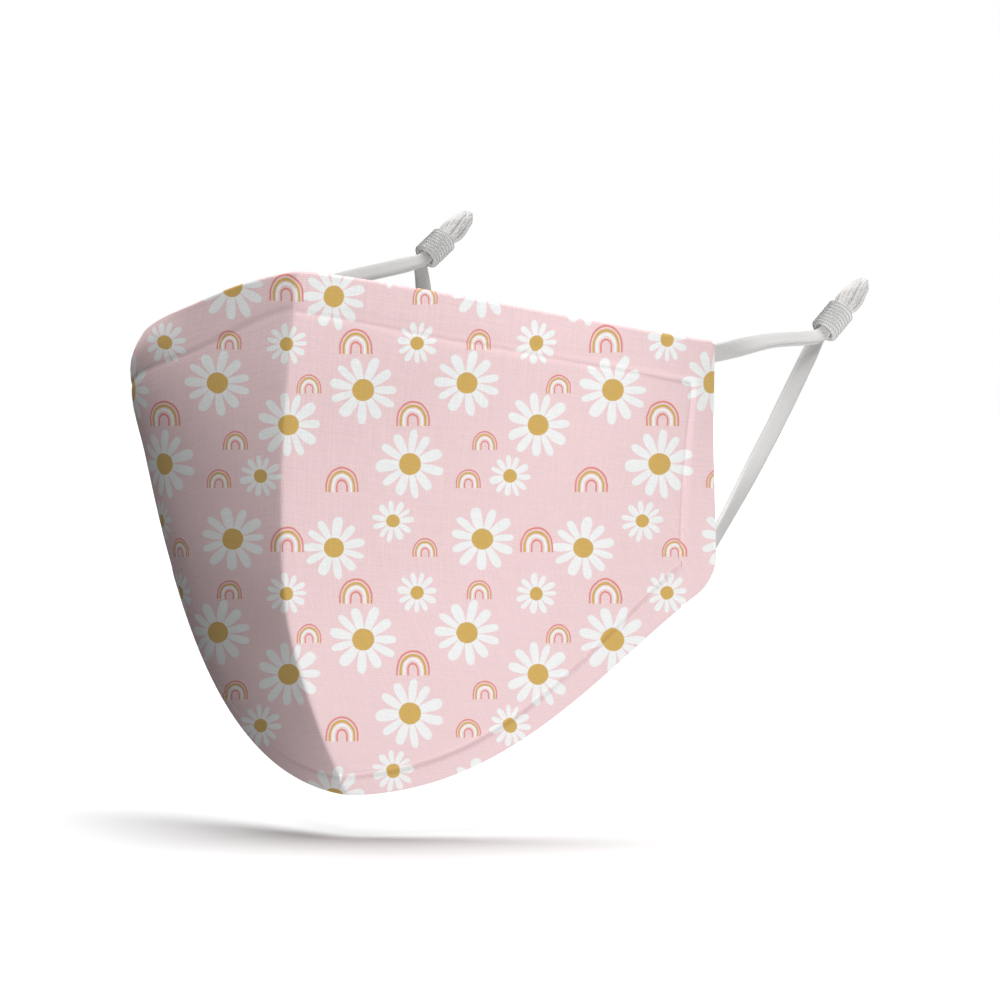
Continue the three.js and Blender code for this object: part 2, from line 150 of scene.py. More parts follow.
# Lamps stand far away. Their turn is from -Y towards +X, their lift is above level and the last
# number is the width of their soft light, all in degrees. Those below level shine through the floor.
FRONT_LAMP = (42, -8, 16)
TOP_LAMP = (23, 89, 70)
BACK_LAMP = (203, 72, 60)
LOW_LAMP = (60, -45, 60)

# The repeat of the print is a square. Places in it are shares of the repeat, measured to the right
# and up from the top of the seam as the photograph shows the mask.
PRINT_REPEAT = 0.0638
PETAL_COUNT = 11
PRINT_RATE_NEAR = 0.55
PRINT_RATE_FAR = 0.42
# Daisies: right, up, radius, turn in radians
DAISIES = (
    (0.261, 0.531, 0.136, 0.23),
    (0.449, 0.234, 0.136, 1.1),
    (0.144, 0.898, 0.124, 2.3),
    (0.677, 0.559, 0.130, 0.05),
    (0.962, 0.391, 0.130, 3.1),
    (0.739, 0.934, 0.130, 4.2),
    (0.477, 0.719, 0.083, 5.3),
    (0.954, 0.715, 0.083, 2.0),
    (0.381, 0.006, 0.083, 3.7),
    (0.850, 0.186, 0.083, 0.9),
)
# Rainbows: right and up to the middle of the foot, half width
RAINBOWS = (
    (0.956, 0.882, 0.067),
    (0.232, 0.675, 0.067),
    (0.461, 0.387, 0.067),
    (0.176, 0.122, 0.067),
    (0.044, 0.517, 0.050),
    (0.749, 0.291, 0.050),
    (0.683, 0.138, 0.050),
    (0.725, 0.693, 0.050),
    (0.509, 0.862, 0.050),
)


def lerp(start, end, share):
    """The value that lies that share of the way from start to end."""
    return start + (end - start) * share


def smooth_step(value, low, high):
    """0 below low, 1 above high and an even curve between them."""
    share = np.clip((value - low) / (high - low), 0, 1)
    return share * share * (3 - 2 * share)


def unit(vectors):
    """The vectors at length one."""
    return vectors / np.linalg.norm(vectors, axis=-1, keepdims=True)


def way_across(degrees):
    """A level direction, turned that far back from straight across."""
    return np.array([math.cos(math.radians(degrees)), math.sin(math.radians(degrees)), 0.0])


def section_handles(section):
    """The four control points of a section's curve, from the seam to the side edge."""
    drop, seam_back, share, side_back, seam_turn, side_turn, *shape = section
    seam_reach, side_reach, seam_fall, side_fall = shape
    seam = np.array([0.0, seam_back * DEPTH, -drop * SEAM_HEIGHT])
    side = np.array([HALF_WIDTH, side_back * DEPTH, -SIDE_DROP - share * SIDE_HEIGHT])
    chord = np.linalg.norm(side - seam)
    fall = np.array([0.0, 0.0, side[2] - seam[2]])
    seam_handle = seam + way_across(seam_turn) * seam_reach * chord + fall * seam_fall
    side_handle = side - way_across(side_turn) * side_reach * chord - fall * side_fall
    return np.array([seam, seam_handle, side_handle, side])


def all_handles():
    """Every section's control points, carried on in a straight line at both ends."""
    rows = np.array([section_handles(section) for section in SECTIONS])
    return np.concatenate([[2 * rows[0] - rows[1]], rows, [2 * rows[-1] - rows[-2]]])


HANDLES = all_handles()
NORMAL_STEP = 0.001


def surface_point(across, down):
    """Points of the left half's outer surface: across from the seam, down from the top edge."""
    across, down = np.broadcast_arrays(np.asarray(across, float), np.asarray(down, float))
    last = len(SECTIONS) - 1
    row = np.clip(np.floor(down * last).astype(int), 0, last - 1)
    part = (down * last - row)[..., None, None]
    a, b, c, d = (HANDLES[row + step] for step in range(4))
    handles = b + 0.5 * part * (c - a + part * (2 * a - 5 * b + 4 * c - d + part * (3 * (b - c) + d - a)))
    rest = 1 - across
    weights = np.stack([rest**3, 3 * across * rest**2, 3 * across**2 * rest, across**3], -1)
    return (handles * weights[..., None]).sum(-2)


def surface_normal(across, down):
    """The outward direction there. At the seam it is the mitre that both halves share."""
    across, down = np.broadcast_arrays(np.asarray(across, float), np.asarray(down, float))
    seam_side, far_side = np.maximum(across - NORMAL_STEP, 0), np.minimum(across + NORMAL_STEP, 1)
    above, below = np.maximum(down - NORMAL_STEP, 0), np.minimum(down + NORMAL_STEP, 1)
    across_way = surface_point(far_side, down) - surface_point(seam_side, down)
    down_way = surface_point(across, below) - surface_point(across, above)
    normal = unit(np.cross(down_way, across_way))
    mitre = normal * (0, 1, 1) / (normal[..., 1:] ** 2).sum(-1, keepdims=True)
    return np.where((across <= 0)[..., None], mitre, normal)


def run_along(points, axis):
    """The length travelled to each point along that axis of a grid of points."""
    strides = np.linalg.norm(np.diff(points, axis=axis), axis=-1)
    start = np.zeros_like(np.take(strides, [0], axis=axis))
    return np.concatenate([start, np.cumsum(strides, axis=axis)], axis=axis)


TABLE = np.linspace(0, 1, 161)


def across_from_side(distance):
    """A border at that distance in from the side edge: across as a function of down."""
    run = run_along(surface_point(1 - TABLE[None, :], TABLE[:, None]), 1)
    found = np.array([np.interp(distance, row, 1 - TABLE) for row in run])
    return lambda down: np.interp(down, TABLE, found)


def down_from_edge(distance, from_top):
    """A border at a distance from the top or bottom edge: down as a function of across.
    The distance is a number or a function of across."""
    shares = TABLE if from_top else 1 - TABLE
    columns = np.concatenate([TABLE[:-12], 1 - (1 - TABLE[-12]) * np.linspace(1, 0, 200) ** 2])
    run = run_along(surface_point(columns[:, None], shares[None, :]), 1)
    wanted = distance(columns) if callable(distance) else np.full(len(columns), distance)
    found = np.array([np.interp(want, row, shares) for want, row in zip(wanted, run)])
    return lambda across: np.interp(across, columns, found)


def constant(value):
    """A border that is one of the surface's own edges."""
    return lambda other: np.full_like(other, value)


def corner_drop(distance, radius):
    """How far a round corner draws an edge in, at a distance from the corner's side."""
    inside = np.clip(radius - distance, 0, radius)
    return radius - np.sqrt(radius**2 - inside**2)


def side_distance(across, down):
    """Distance of the casing's points from the side edge, no more than the casing's width."""
    edge = surface_point(1.0, down)
    return np.minimum(np.linalg.norm(surface_point(across, down) - edge, axis=-1), CASING_WIDTH)


def top_corner(across):
    return corner_drop(side_distance(across, 0.0), TOP_CORNER_RADIUS)


def bottom_corner(across):
    distance = side_distance(across, 1.0)
    return corner_drop(distance, BOTTOM_CORNER_RADIUS) + corner_drop(CASING_WIDTH - distance, NOTCH_RADIUS)


# Distances from a border at which a cloth piece has its rows, in metres
GROOVE_LADDER = (0, 0.0002, 0.0004, 0.0006, 0.0008, 0.001, 0.0012, 0.0015, 0.002)
SEAM_LADDER = (0, 0.00015, 0.0003, 0.0005, 0.00075, 0.0011, 0.0016, 0.0023)
FOLD_LADDER = (0, 0.00004, 0.00012, 0.00025, 0.00042, 0.00065, 0.0009, 0.0012, 0.0016)
CORNER_LADDER = (0, 0.000015, 0.00006, 0.00014, 0.00025, 0.0004, 0.0006, 0.00085, 0.00115,
                 0.00155, 0.0021, 0.0029, 0.004, 0.0053, 0.0065)
FLUSH_LADDER = (0, 0.0008)

# Even cells of each kind of piece between its crowded rows, across and down
PANEL_CELLS = (105, 100)
HEM_CELLS = (105, 5)
CASING_CELLS = (6, 60)


def ladder_places(lengths, start, end, cells):
    """Rows of places from 0 to each length: close steps at both ends and even cells between."""
    rows = []
    for length in np.atleast_1d(lengths):
        middle = np.linspace(start[-1], length - end[-1], cells + 1)
        rows.append(np.concatenate([start[:-1], middle, length - np.array(end[-2::-1])]))
    return np.array(rows)


class Patch:
    """A stretch of the cloth between four borders, with its folded or pressed edges."""

    def __init__(self, seam, side, top, bottom, ladders, cells, wall, proud):
        self.seam, self.side, self.top, self.bottom = seam, side, top, bottom
        self.ladders, self.cells, self.wall, self.proud = ladders, cells, wall, proud

    def places(self, across_share, down_share):
        """Surface places of a grid of shares between the borders, which bend with the surface."""
        down = np.full_like(across_share, 0.5)
        for _ in range(5):
            across = lerp(self.seam(down), self.side(down), across_share)
            down = lerp(self.top(across), self.bottom(across), down_share)
        return across, down

    def grid(self):
        """Places of the patch's own grid, with rows that crowd at its borders."""
        coarse = np.linspace(0, 1, 33)
        points = surface_point(*self.places(*np.broadcast_arrays(coarse[None, :], coarse[:, None])))
        row_length = run_along(points, 1)[:, -1]
        column_length = run_along(points, 0)[-1]
        down_nominal = ladder_places(column_length.mean(), *self.ladders[2:], self.cells[1])[0]
        down_nominal = down_nominal / column_length.mean()
        lengths = np.interp(down_nominal, coarse, row_length)
        across_share = ladder_places(lengths, *self.ladders[:2], self.cells[0]) / lengths[:, None]
        lengths = np.interp(across_share.mean(0), coarse, column_length)
        down_share = (ladder_places(lengths, *self.ladders[2:], self.cells[1]) / lengths[:, None]).T
        return self.places(across_share, down_share)


def nose_width(side):
    """Width of the nose band on one half, as a function of across."""
    cheek_width = NOSE_LEFT_WIDTH if side > 0 else NOSE_RIGHT_WIDTH
    return lambda across: lerp(NOSE_SEAM_WIDTH, cheek_width, smooth_step(across, 0, NOSE_WIDE_FROM))


def chin_width(across):
    """Width of the chin hem, from the seam to the side."""
    return lerp(CHIN_SEAM_WIDTH, CHIN_SIDE_WIDTH, smooth_step(across, CHIN_NARROW_TO, CHIN_WIDE_FROM))


def half_borders(side):
    """The borders that neighbouring cloth pieces share on one half."""
    return {
        "casing": across_from_side(CASING_WIDTH),
        "nose": down_from_edge(nose_width(side), True),
        "chin": down_from_edge(chin_width, False),
    }


def panel_patch(borders):
    return Patch(constant(0.0), borders["casing"], borders["nose"], borders["chin"],
                 (SEAM_LADDER, GROOVE_LADDER, GROOVE_LADDER, GROOVE_LADDER), PANEL_CELLS, PANEL_WALL, 0.0)


def nose_patch(borders, proud):
    return Patch(constant(0.0), borders["casing"], constant(0.0), borders["nose"],
                 (SEAM_LADDER, FLUSH_LADDER, FOLD_LADDER, GROOVE_LADDER), HEM_CELLS, HEM_WALL, proud)


def chin_patch(borders, proud):
    return Patch(constant(0.0), borders["casing"], borders["chin"], constant(1.0),
                 (SEAM_LADDER, FLUSH_LADDER, GROOVE_LADDER, FOLD_LADDER), HEM_CELLS, HEM_WALL, proud)


def casing_patch(borders, proud):
    return Patch(borders["casing"], constant(1.0), down_from_edge(top_corner, True),
                 down_from_edge(bottom_corner, False),
                 (GROOVE_LADDER, CORNER_LADDER, FOLD_LADDER, FOLD_LADDER), CASING_CELLS, CASING_WALL, proud)


def dip(distance, half_width):
    """The pressed line's depth as a share: 1 on the line and 0 beyond its half width."""
    return 0.5 + 0.5 * np.cos(np.pi * np.clip(distance / half_width, 0, 1))


def fold_round(distances, radius):
    """How far a folded edge curves back, from the distances to one or more folded borders."""
    near = sum(np.clip(1 - distance / radius, 0, 1) ** 2 for distance in distances)
    return radius * (1 - np.sqrt(1 - np.minimum(near, 1)))


def print_tables(side):
    """Print places over one half of the surface. They follow the flat view of the photograph,
    but no faster than the cloth can be seen to turn away, so that the print doesn't smear."""
    across, down = TABLE[None, :], TABLE[:, None]
    points = surface_point(across, down) * (side, 1, 1)
    flat = view_place(points)
    run = run_along(points, 1)
    rate = PRINT_RATE_NEAR if side > 0 else PRINT_RATE_FAR
    strides = np.diff(run, axis=1)
    seen = side * np.diff(flat[..., 0], axis=1)
    least = lerp(1.0, rate, smooth_step(seen / strides, -0.35, 0.0))
    steps = np.maximum(seen, least * strides)
    right = np.concatenate([flat[:, :1, 0], flat[:, :1, 0] + side * np.cumsum(steps, axis=1)], axis=1)
    return right / PRINT_REPEAT, flat[..., 1] / PRINT_REPEAT


def view_axes():
    """The camera's right, up and forward directions."""
    cos_turn, sin_turn = math.cos(VIEW_TURN), math.sin(VIEW_TURN)
    cos_lift, sin_lift = math.cos(VIEW_LIFT), math.sin(VIEW_LIFT)
    right = np.array([cos_turn, sin_turn, 0.0])
    forward = np.array([-sin_turn * cos_lift, cos_turn * cos_lift, -sin_lift])
    up = np.array([-sin_turn * sin_lift, cos_turn * sin_lift, cos_lift])
    return right, up, forward


def view_place(points):
    """Where points are seen, in metres to the right of and above the top of the seam."""
    right, up, forward = view_axes()
    scale = VIEW_DISTANCE / (points @ forward + VIEW_DISTANCE)
    return np.stack([(points @ right + SEAM_TOP_RIGHT) * scale - SEAM_TOP_RIGHT,
                     (points @ up + SEAM_TOP_UP) * scale - SEAM_TOP_UP], -1)


def from_table(table, across, down):
    """The value of a table over the surface at places between its points."""
    last = len(TABLE) - 1
    row = np.clip((down * last).astype(int), 0, last - 1)
    column = np.clip((across * last).astype(int), 0, last - 1)
    row_part, column_part = down * last - row, across * last - column
    top = lerp(table[row, column], table[row, column + 1], column_part)
    bottom = lerp(table[row + 1, column], table[row + 1, column + 1], column_part)
    return lerp(top, bottom, row_part)


def cloth_maps(across, down, side):
    """Two maps of the cloth: the print's places and true lengths for the weave, in metres."""
    right, up = print_tables(side)
    points = surface_point(TABLE[None, :], TABLE[:, None])
    lengths = from_table(run_along(points, 1), across, down) * side
    drops = from_table(run_along(points, 0), across, down)
    return np.stack([from_table(right, across, down), from_table(up, across, down), lengths, -drops], -1)


# Waves of the pressed cloth: radians across and down the panel, phase by the side, phase, share
WAVES = (
    (9.0, 5.0, 1.0, 0.0, 1.0),
    (-6.0, 13.0, 0.0, 2.0, 1.0),
    (19.0, 11.0, -1.0, 0.0, 0.6),
)


def waves(across, down, side, height):
    """Slight unevenness of hand-pressed cloth, which fades out at the borders."""
    fade = np.sin(np.pi * np.clip(across, 0, 1)) * np.sin(np.pi * np.clip(down, 0, 1))
    wave = sum(share * np.sin(over * across + along * down + turned * side + phase)
               for over, along, turned, phase, share in WAVES)
    return height * fade * wave / 2


def cheek_puff(from_seam, from_side, from_line, from_fold, height):
    """The loose swell of the nose band over the wearer's right cheek."""
    along = smooth_step(from_seam, *PUFF_FROM_SEAM) * smooth_step(from_side, *PUFF_FROM_SIDE)
    return height * along * smooth_step(from_line, *PUFF_FROM_LINE) * smooth_step(from_fold, *PUFF_FROM_FOLD)


def cloth_half(kind, patch, side, settings):
    """Outer and inner grids of points of a cloth piece on one half, and their cloth maps."""
    across, down = patch.grid()
    base = surface_point(across, down)
    normal = surface_normal(across, down)
    from_seam = run_along(base, 1)
    from_side = from_seam[:, -1:] - from_seam
    from_top = run_along(base, 0)
    from_bottom = from_top[-1:] - from_top
    line = settings.line_width / 2
    sunk = patch.proud + (settings.depth_left if side > 0 else settings.depth_right)
    fold = FOLD_SHARE * patch.wall
    if kind == "panel":
        pressed = 1 - (1 - dip(from_side, line)) * (1 - dip(from_top, line)) * (1 - dip(from_bottom, line))
        outer = waves(across, down, side, settings.unevenness) - sunk * pressed
        inner = -patch.wall - waves(across, down, -side, settings.unevenness)
        crease = from_seam
    elif kind == "casing":
        above, below = nose_width(side)(1.0) - from_top, chin_width(1.0) - from_bottom
        lined = dip(np.clip(above, 0, None), line) * dip(np.clip(below, 0, None), line)
        rounded = fold_round([from_side, from_top, from_bottom], fold)
        outer = patch.proud - sunk * dip(from_seam, line) * lined - rounded
        inner = patch.proud - patch.wall + rounded
        crease = None
    else:
        from_fold, from_line = (from_top, from_bottom) if kind == "nose" else (from_bottom, from_top)
        rounded = fold_round([from_fold], fold)
        arch = np.sin(np.pi * from_line / (from_line + from_fold))
        swell = settings.crown * arch * smooth_step(from_side, 0.0, CROWN_FADE)
        if kind == "nose" and side < 0:
            swell = swell + cheek_puff(from_seam, from_side, from_line, from_fold, settings.puff)
        outer = patch.proud + swell - sunk * dip(from_line, line) - rounded
        inner = patch.proud - patch.wall + rounded
        crease = from_seam
    top = base + normal * outer[..., None]
    bottom = base + normal * inner[..., None]
    if crease is not None:
        slope = np.abs(normal[:, 3:4, 0] / normal[:, 3:4, 1])
        cut = slope * (np.sqrt(crease**2 + CREASE_SOFTNESS**2) - crease)
        top[..., 1] += cut
        seam_x = PIECE_GAP / 2 if kind == "panel" else 0.0
        top[:, 0, 0] = bottom[:, 0, 0] = seam_x
    if kind in ("nose", "casing"):
        level = 1 - np.clip(from_top / nose_width(side)(across), 0, 1)
        rise = EDGE_LIFT * level
        if side < 0:
            rise = rise * (1 - smooth_step(across, *RIGHT_LIFT_FADE))
        if kind == "nose":
            rise = rise - (np.sqrt(crease**2 + PEAK_SOFTNESS**2) - crease) * PEAK_SLOPE * level
        top[..., 2] += rise
        bottom[..., 2] += rise
    mirror = np.array((side, 1, 1))
    return top * mirror, bottom * mirror, cloth_maps(across, down, side)


def closed_quads(rows, columns):
    """Faces of a closed wall between two grids: the outer, the inner and the rim faces."""
    index = np.arange(rows * columns).reshape(rows, columns)
    quads = np.stack([index[:-1, :-1], index[1:, :-1], index[1:, 1:], index[:-1, 1:]], -1).reshape(-1, 4)
    inner = quads[:, ::-1] + rows * columns
    rim = np.concatenate([index[0, :-1], index[:-1, -1], index[-1, :0:-1], index[:0:-1, 0]])
    following = np.roll(rim, -1)
    wall = np.stack([rim, following, following + rows * columns, rim + rows * columns], -1)
    return quads, inner, wall


def faces_outward(points, faces):
    """Whether the faces enclose a positive volume."""
    a, b, c = (points[faces[:, corner]] for corner in (0, 1, 2))
    d = points[faces[:, 3]]
    return (np.einsum("ij,ij->i", a, np.cross(b, c)) + np.einsum("ij,ij->i", a, np.cross(c, d))).sum() > 0


def new_object(name, points, faces, materials):
    """A mesh object in the row frame, with its faces pointing outward."""
    if not faces_outward(points, faces):
        faces = faces[:, ::-1]
    mesh = bpy.data.meshes.new(name)
    mesh.from_pydata(points.tolist(), [], faces.tolist())
    mesh.update()
    piece = bpy.data.objects.new(name, mesh)
    bpy.context.scene.collection.objects.link(piece)
    for material in materials:
        mesh.materials.append(material)
    return piece


def add_map(mesh, name, places):
    """A UV map from one place for each vertex."""
    corners = np.empty(len(mesh.loops), dtype=np.int32)
    mesh.loops.foreach_get("vertex_index", corners)
    layer = mesh.uv_layers.new(name=name, do_init=False)
    layer.uv.foreach_set("vector", places[corners].astype(np.float32).ravel())


def smooth(piece, degrees):
    """Smooth shading, with edges sharper than the angle kept crisp."""
    bpy.ops.object.select_all(action="DESELECT")
    piece.select_set(True)
    bpy.context.view_layer.objects.active = piece
    bpy.ops.object.shade_smooth_by_angle(angle=math.radians(degrees))


def cloth_piece(node, halves, inner_material, outer_material):
    """A closed cloth piece from one half's grids, or from two halves that meet at the seam."""
    if len(halves) == 2:
        right, left = halves
        grids = [np.concatenate([r[:, :0:-1], l], axis=1) for r, l in zip(right, left)]
    else:
        grids = halves[0]
    outer, inner, maps = grids
    rows, columns = outer.shape[:2]
    points = np.concatenate([outer.reshape(-1, 3), inner.reshape(-1, 3)])
    quads, inner_quads, wall = closed_quads(rows, columns)
    faces = np.concatenate([quads, wall, inner_quads])
    piece = new_object(f"{node}_cloth", points, faces, [outer_material, inner_material])
    slots = np.zeros(len(faces), dtype=np.int32)
    slots[len(quads) + len(wall):] = 1
    piece.data.polygons.foreach_set("material_index", slots)
    places = np.tile(maps.reshape(-1, 4), (2, 1))
    add_map(piece.data, "print", places[:, :2])
    add_map(piece.data, "cloth", places[:, 2:])
    smooth(piece, 50)
    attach(piece, "root")
    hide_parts(node)
    return piece


def adjuster_frame(pose):
    """An adjuster's centre, its axis, the way from the lower strand to the upper one, and the way
    across the strands."""
    side, back, inward, rise, _, _, lift, turn, facing, _ = pose
    centre = surface_point(1.0, 0.0) * (side, 1, 1) + np.array((-side * inward, back, rise)) * LOOP_REACH
    lift, turn, facing = math.radians(lift), math.radians(turn), math.radians(facing)
    axis = np.array((math.cos(lift) * math.sin(turn), math.cos(lift) * math.cos(turn), math.sin(lift)))
    stack = np.array((math.sin(facing), -math.cos(facing), 0.0))
    stack = unit(stack - axis * (stack @ axis))
    return centre, axis, stack, unit(np.cross(axis, stack))


def smooth_path(places, steps):
    """A centripetal Catmull-Rom curve through the places, at even lengths."""
    ends = [2 * places[0] - places[1], *places, 2 * places[-1] - places[-2]]
    fine = []
    for p0, p1, p2, p3 in zip(ends, ends[1:], ends[2:], ends[3:]):
        t0, t1, t2 = (np.linalg.norm(b - a) ** 0.5 for a, b in ((p0, p1), (p1, p2), (p2, p3)))
        start = ((p1 - p0) / t0 - (p2 - p0) / (t0 + t1) + (p2 - p1) / t1) * t1
        end = ((p2 - p1) / t1 - (p3 - p1) / (t1 + t2) + (p3 - p2) / t2) * t1
        part = np.linspace(0, 1, 60, endpoint=False)[:, None]
        fine.append(p1 + part * (start + part * (-3 * p1 + 3 * p2 - 2 * start - end
                                                 + part * (2 * p1 - 2 * p2 + start + end))))
    line = np.concatenate([*fine, [places[-1]]])
    run = run_along(line, 0)
    wanted = np.linspace(0, run[-1], steps + 1)
    return np.stack([np.interp(wanted, run, line[:, axis]) for axis in range(3)], -1)


def strand_stations(pose, adjuster, distance_down, sign, bend, drop, slant, steps):
    """Stations of one strand from its end behind the casing to the adjuster: the centres, the way
    of its width, its width and its thickness."""
    side = pose[0]
    centre, axis, stack, across_way = adjuster
    tuck = []
    for distance in (TUCK_LENGTH, TUCK_LENGTH / 2, 0.0):
        down = (distance_down + slant * distance) / SIDE_HEIGHT
        across = across_from_side(distance)(down)
        place = surface_point(across, down) - surface_normal(across, down) * TUCK_BEHIND
        tuck.append(place * (side, 1, 1))
    offset = (STRAND_GAP + GRIP_THICKNESS) / 2 * sign
    mouth = centre - axis * ADJUSTER_LENGTH / 2 + stack * offset
    start = [] if slant > 0 else [2 * tuck[-1] - tuck[-2]]
    middle = lerp(tuck[-1], mouth, 0.5) + np.array(bend) * LOOP_REACH
    near_mouth = mouth - axis * MOUTH_RUN
    below = [near_mouth - (0, 0, drop * LOOP_REACH)] if drop > 0 else []
    centres = smooth_path([*tuck, *start, middle, *below, near_mouth, mouth], steps)
    edge_way = unit(surface_point(1.0, 1.0) - surface_point(1.0, 0.0))
    if edge_way @ across_way < 0:
        edge_way = -edge_way
    share = np.linspace(0, 1, steps + 1)
    ways = lerp(edge_way, across_way, smooth_step(share, *STRAND_TURNS)[:, None])
    squeezed = smooth_step(share, SQUEEZED_FROM, 1)
    thicknesses = lerp(ELASTIC_THICKNESS, GRIP_THICKNESS, squeezed)
    return centres, ways, lerp(ELASTIC_WIDTH, GRIP_WIDTH, squeezed), thicknesses


def tail_stations(adjuster, fold_steps):
    """Stations through the adjuster, along the tail's core and round its fold, and back."""
    centre, axis, stack, across_way = adjuster
    length, width, thickness = TAIL_CORE
    squeezed, loose = (STRAND_GAP + GRIP_THICKNESS) / 2, (STRAND_GAP + thickness) / 2
    far = ADJUSTER_LENGTH / 2
    fold_start = far + length - loose - thickness / 2
    straight = np.array([0.0, 0.5 * far, far, far + 0.25 * thickness, far + 0.6 * thickness,
                         far + thickness, *np.linspace(far + thickness, fold_start, 8)[1:]])
    open_share = smooth_step(straight, far, far + thickness)
    angles = np.linspace(math.pi / 2, -math.pi / 2, fold_steps + 1)[1:-1]
    along = np.concatenate([straight, fold_start + loose * np.cos(angles), straight[::-1]])
    rise = np.concatenate([lerp(squeezed, loose, open_share), loose * np.sin(angles),
                           -lerp(squeezed, loose, open_share)[::-1]])
    opened = np.concatenate([open_share, np.ones(len(angles)), open_share[::-1]])
    centres = centre + along[:, None] * axis + rise[:, None] * stack
    ways = np.tile(across_way, (len(along), 1))
    return centres, ways, lerp(GRIP_WIDTH, width, opened), lerp(GRIP_THICKNESS, thickness, opened)


def band_outline(sides):
    """Points round a rounded flat section of width and thickness 2."""
    angles = (np.arange(sides) + 0.5) / sides * 2 * math.pi
    cos, sin = np.cos(angles), np.sin(angles)
    power = 2 / SECTION_SQUARENESS
    return np.sign(cos) * np.abs(cos) ** power, np.sign(sin) * np.abs(sin) ** power


def band_frames(centres, ways):
    """For each station: the direction across the band's width and the one through it."""
    along = unit(np.gradient(centres, axis=0))
    wide = unit(ways - along * (ways * along).sum(-1, keepdims=True))
    return wide, np.cross(along, wide)


def tube_faces(stations, sides):
    """Faces of a tube through its rings, closed at both ends with strips of quads."""
    index = np.arange(stations * sides).reshape(stations, sides)
    nxt = np.roll(index, -1, axis=1)
    faces = np.stack([index[:-1], nxt[:-1], nxt[1:], index[1:]], -1).reshape(-1, 4)
    caps = []
    for ring in (index[0][::-1], index[-1]):
        for step in range(sides // 2 - 1):
            caps.append([ring[step], ring[step + 1], ring[sides - 2 - step], ring[sides - 1 - step]])
    return np.concatenate([faces, caps])


def elastic_band(name, stations, sides, material, ridges):
    """A soft band through its stations, with fine ridges that run along it."""
    centres, ways, widths, thicknesses = stations
    wide, thick = band_frames(centres, ways)
    x, y = band_outline(sides)
    share = np.arange(sides) / sides
    ridge = 1 + ridges * np.cos(2 * math.pi * share * (sides // 4))
    points = (centres[:, None] + wide[:, None] * (widths[:, None] / 2 * x * ridge)[..., None]
              + thick[:, None] * (thicknesses[:, None] / 2 * y * ridge)[..., None])
    piece = new_object(name, points.reshape(-1, 3), tube_faces(len(centres), sides), [material])
    run = run_along(centres, 0)
    across = x * ELASTIC_WIDTH / 2
    places = np.stack(np.broadcast_arrays(across[None, :], run[:, None]), -1).reshape(-1, 2)
    add_map(piece.data, "band", places)
    return piece


def joined_stations(parts):
    """Stations one after another, without the doubled ones where they meet."""
    kept = []
    for position, part in enumerate(parts):
        kept.append([values[1 if position else 0:] for values in part])
    return [np.concatenate(values) for values in zip(*kept)]


def reversed_stations(stations):
    return [values[::-1] for values in stations]


def loop_stations(name, steps):
    """Stations of a whole ear loop, from the upper strand's end to the lower strand's end."""
    pose = LOOP_POSES[name]
    adjuster = adjuster_frame(pose)
    sag, bow, drop = pose[4], pose[5], pose[9]
    lower_end = SIDE_HEIGHT - LOWER_STRAND_RISE
    upper = strand_stations(pose, adjuster, UPPER_STRAND_DROP, 1, (0, 0, -sag), 0, 0, steps)
    lower = strand_stations(pose, adjuster, lower_end, -1, (0, bow, -sag), drop, LOWER_TUCK_SLANT, steps)
    return [upper, tail_stations(adjuster, FOLD_STEPS), reversed_stations(lower)]


# Yarns of a tail: the angle from one to the next, which spreads them evenly over the section, and
# the twist along each one, in radians. Then each yarn's sides and rings, the bundle's spread, draw,
# uneven lengths and taper as shares, and how far a yarn starts inside the sleeve, in metres.
YARN_TURN = 2.39996
YARN_TWIST = 0.5
YARN_SIDES = 6
YARN_STEPS = 24
YARN_FOOT = 0.6
YARN_SPREAD_BY = 0.4
YARN_DRAW = 0.3
YARN_DRAW_FROM = 0.5
YARN_SHORTER = 0.26
YARN_UNEVEN = 0.95
YARN_TAPER = 0.96
YARN_TAPER_FROM = 0.9
SLEEVE_OVERLAP = 0.001


def yarn_tube(adjuster, out, angle, reach, bend, share):
    """The rings of points of one yarn, and how far along the adjuster's axis each ring lies."""
    centre, axis, stack, across_way = adjuster
    spread = lerp(YARN_FOOT, 1.0, smooth_step(share, 0.0, YARN_SPREAD_BY))
    swell = spread * (1 - YARN_DRAW * smooth_step(share, YARN_DRAW_FROM, 1.0))
    turned = angle + YARN_TWIST * share
    x = out * np.cos(turned) * TAIL_WIDTH / 2 * swell + bend[0] * share**2
    y = out * np.sin(turned) * TAIL_THICKNESS * swell + bend[1] * share**2
    onward = ADJUSTER_LENGTH / 2 - SLEEVE_OVERLAP + reach * share
    line = centre + onward[:, None] * axis + x[:, None] * across_way + y[:, None] * stack
    radius = YARN_RADIUS * np.sqrt(1 - YARN_TAPER * smooth_step(share, YARN_TAPER_FROM, 1.0))
    circle = np.arange(YARN_SIDES) / YARN_SIDES * 2 * math.pi
    round_way = np.cos(circle)[:, None] * across_way + np.sin(circle)[:, None] * stack
    return line[:, None] + radius[:, None, None] * round_way, onward


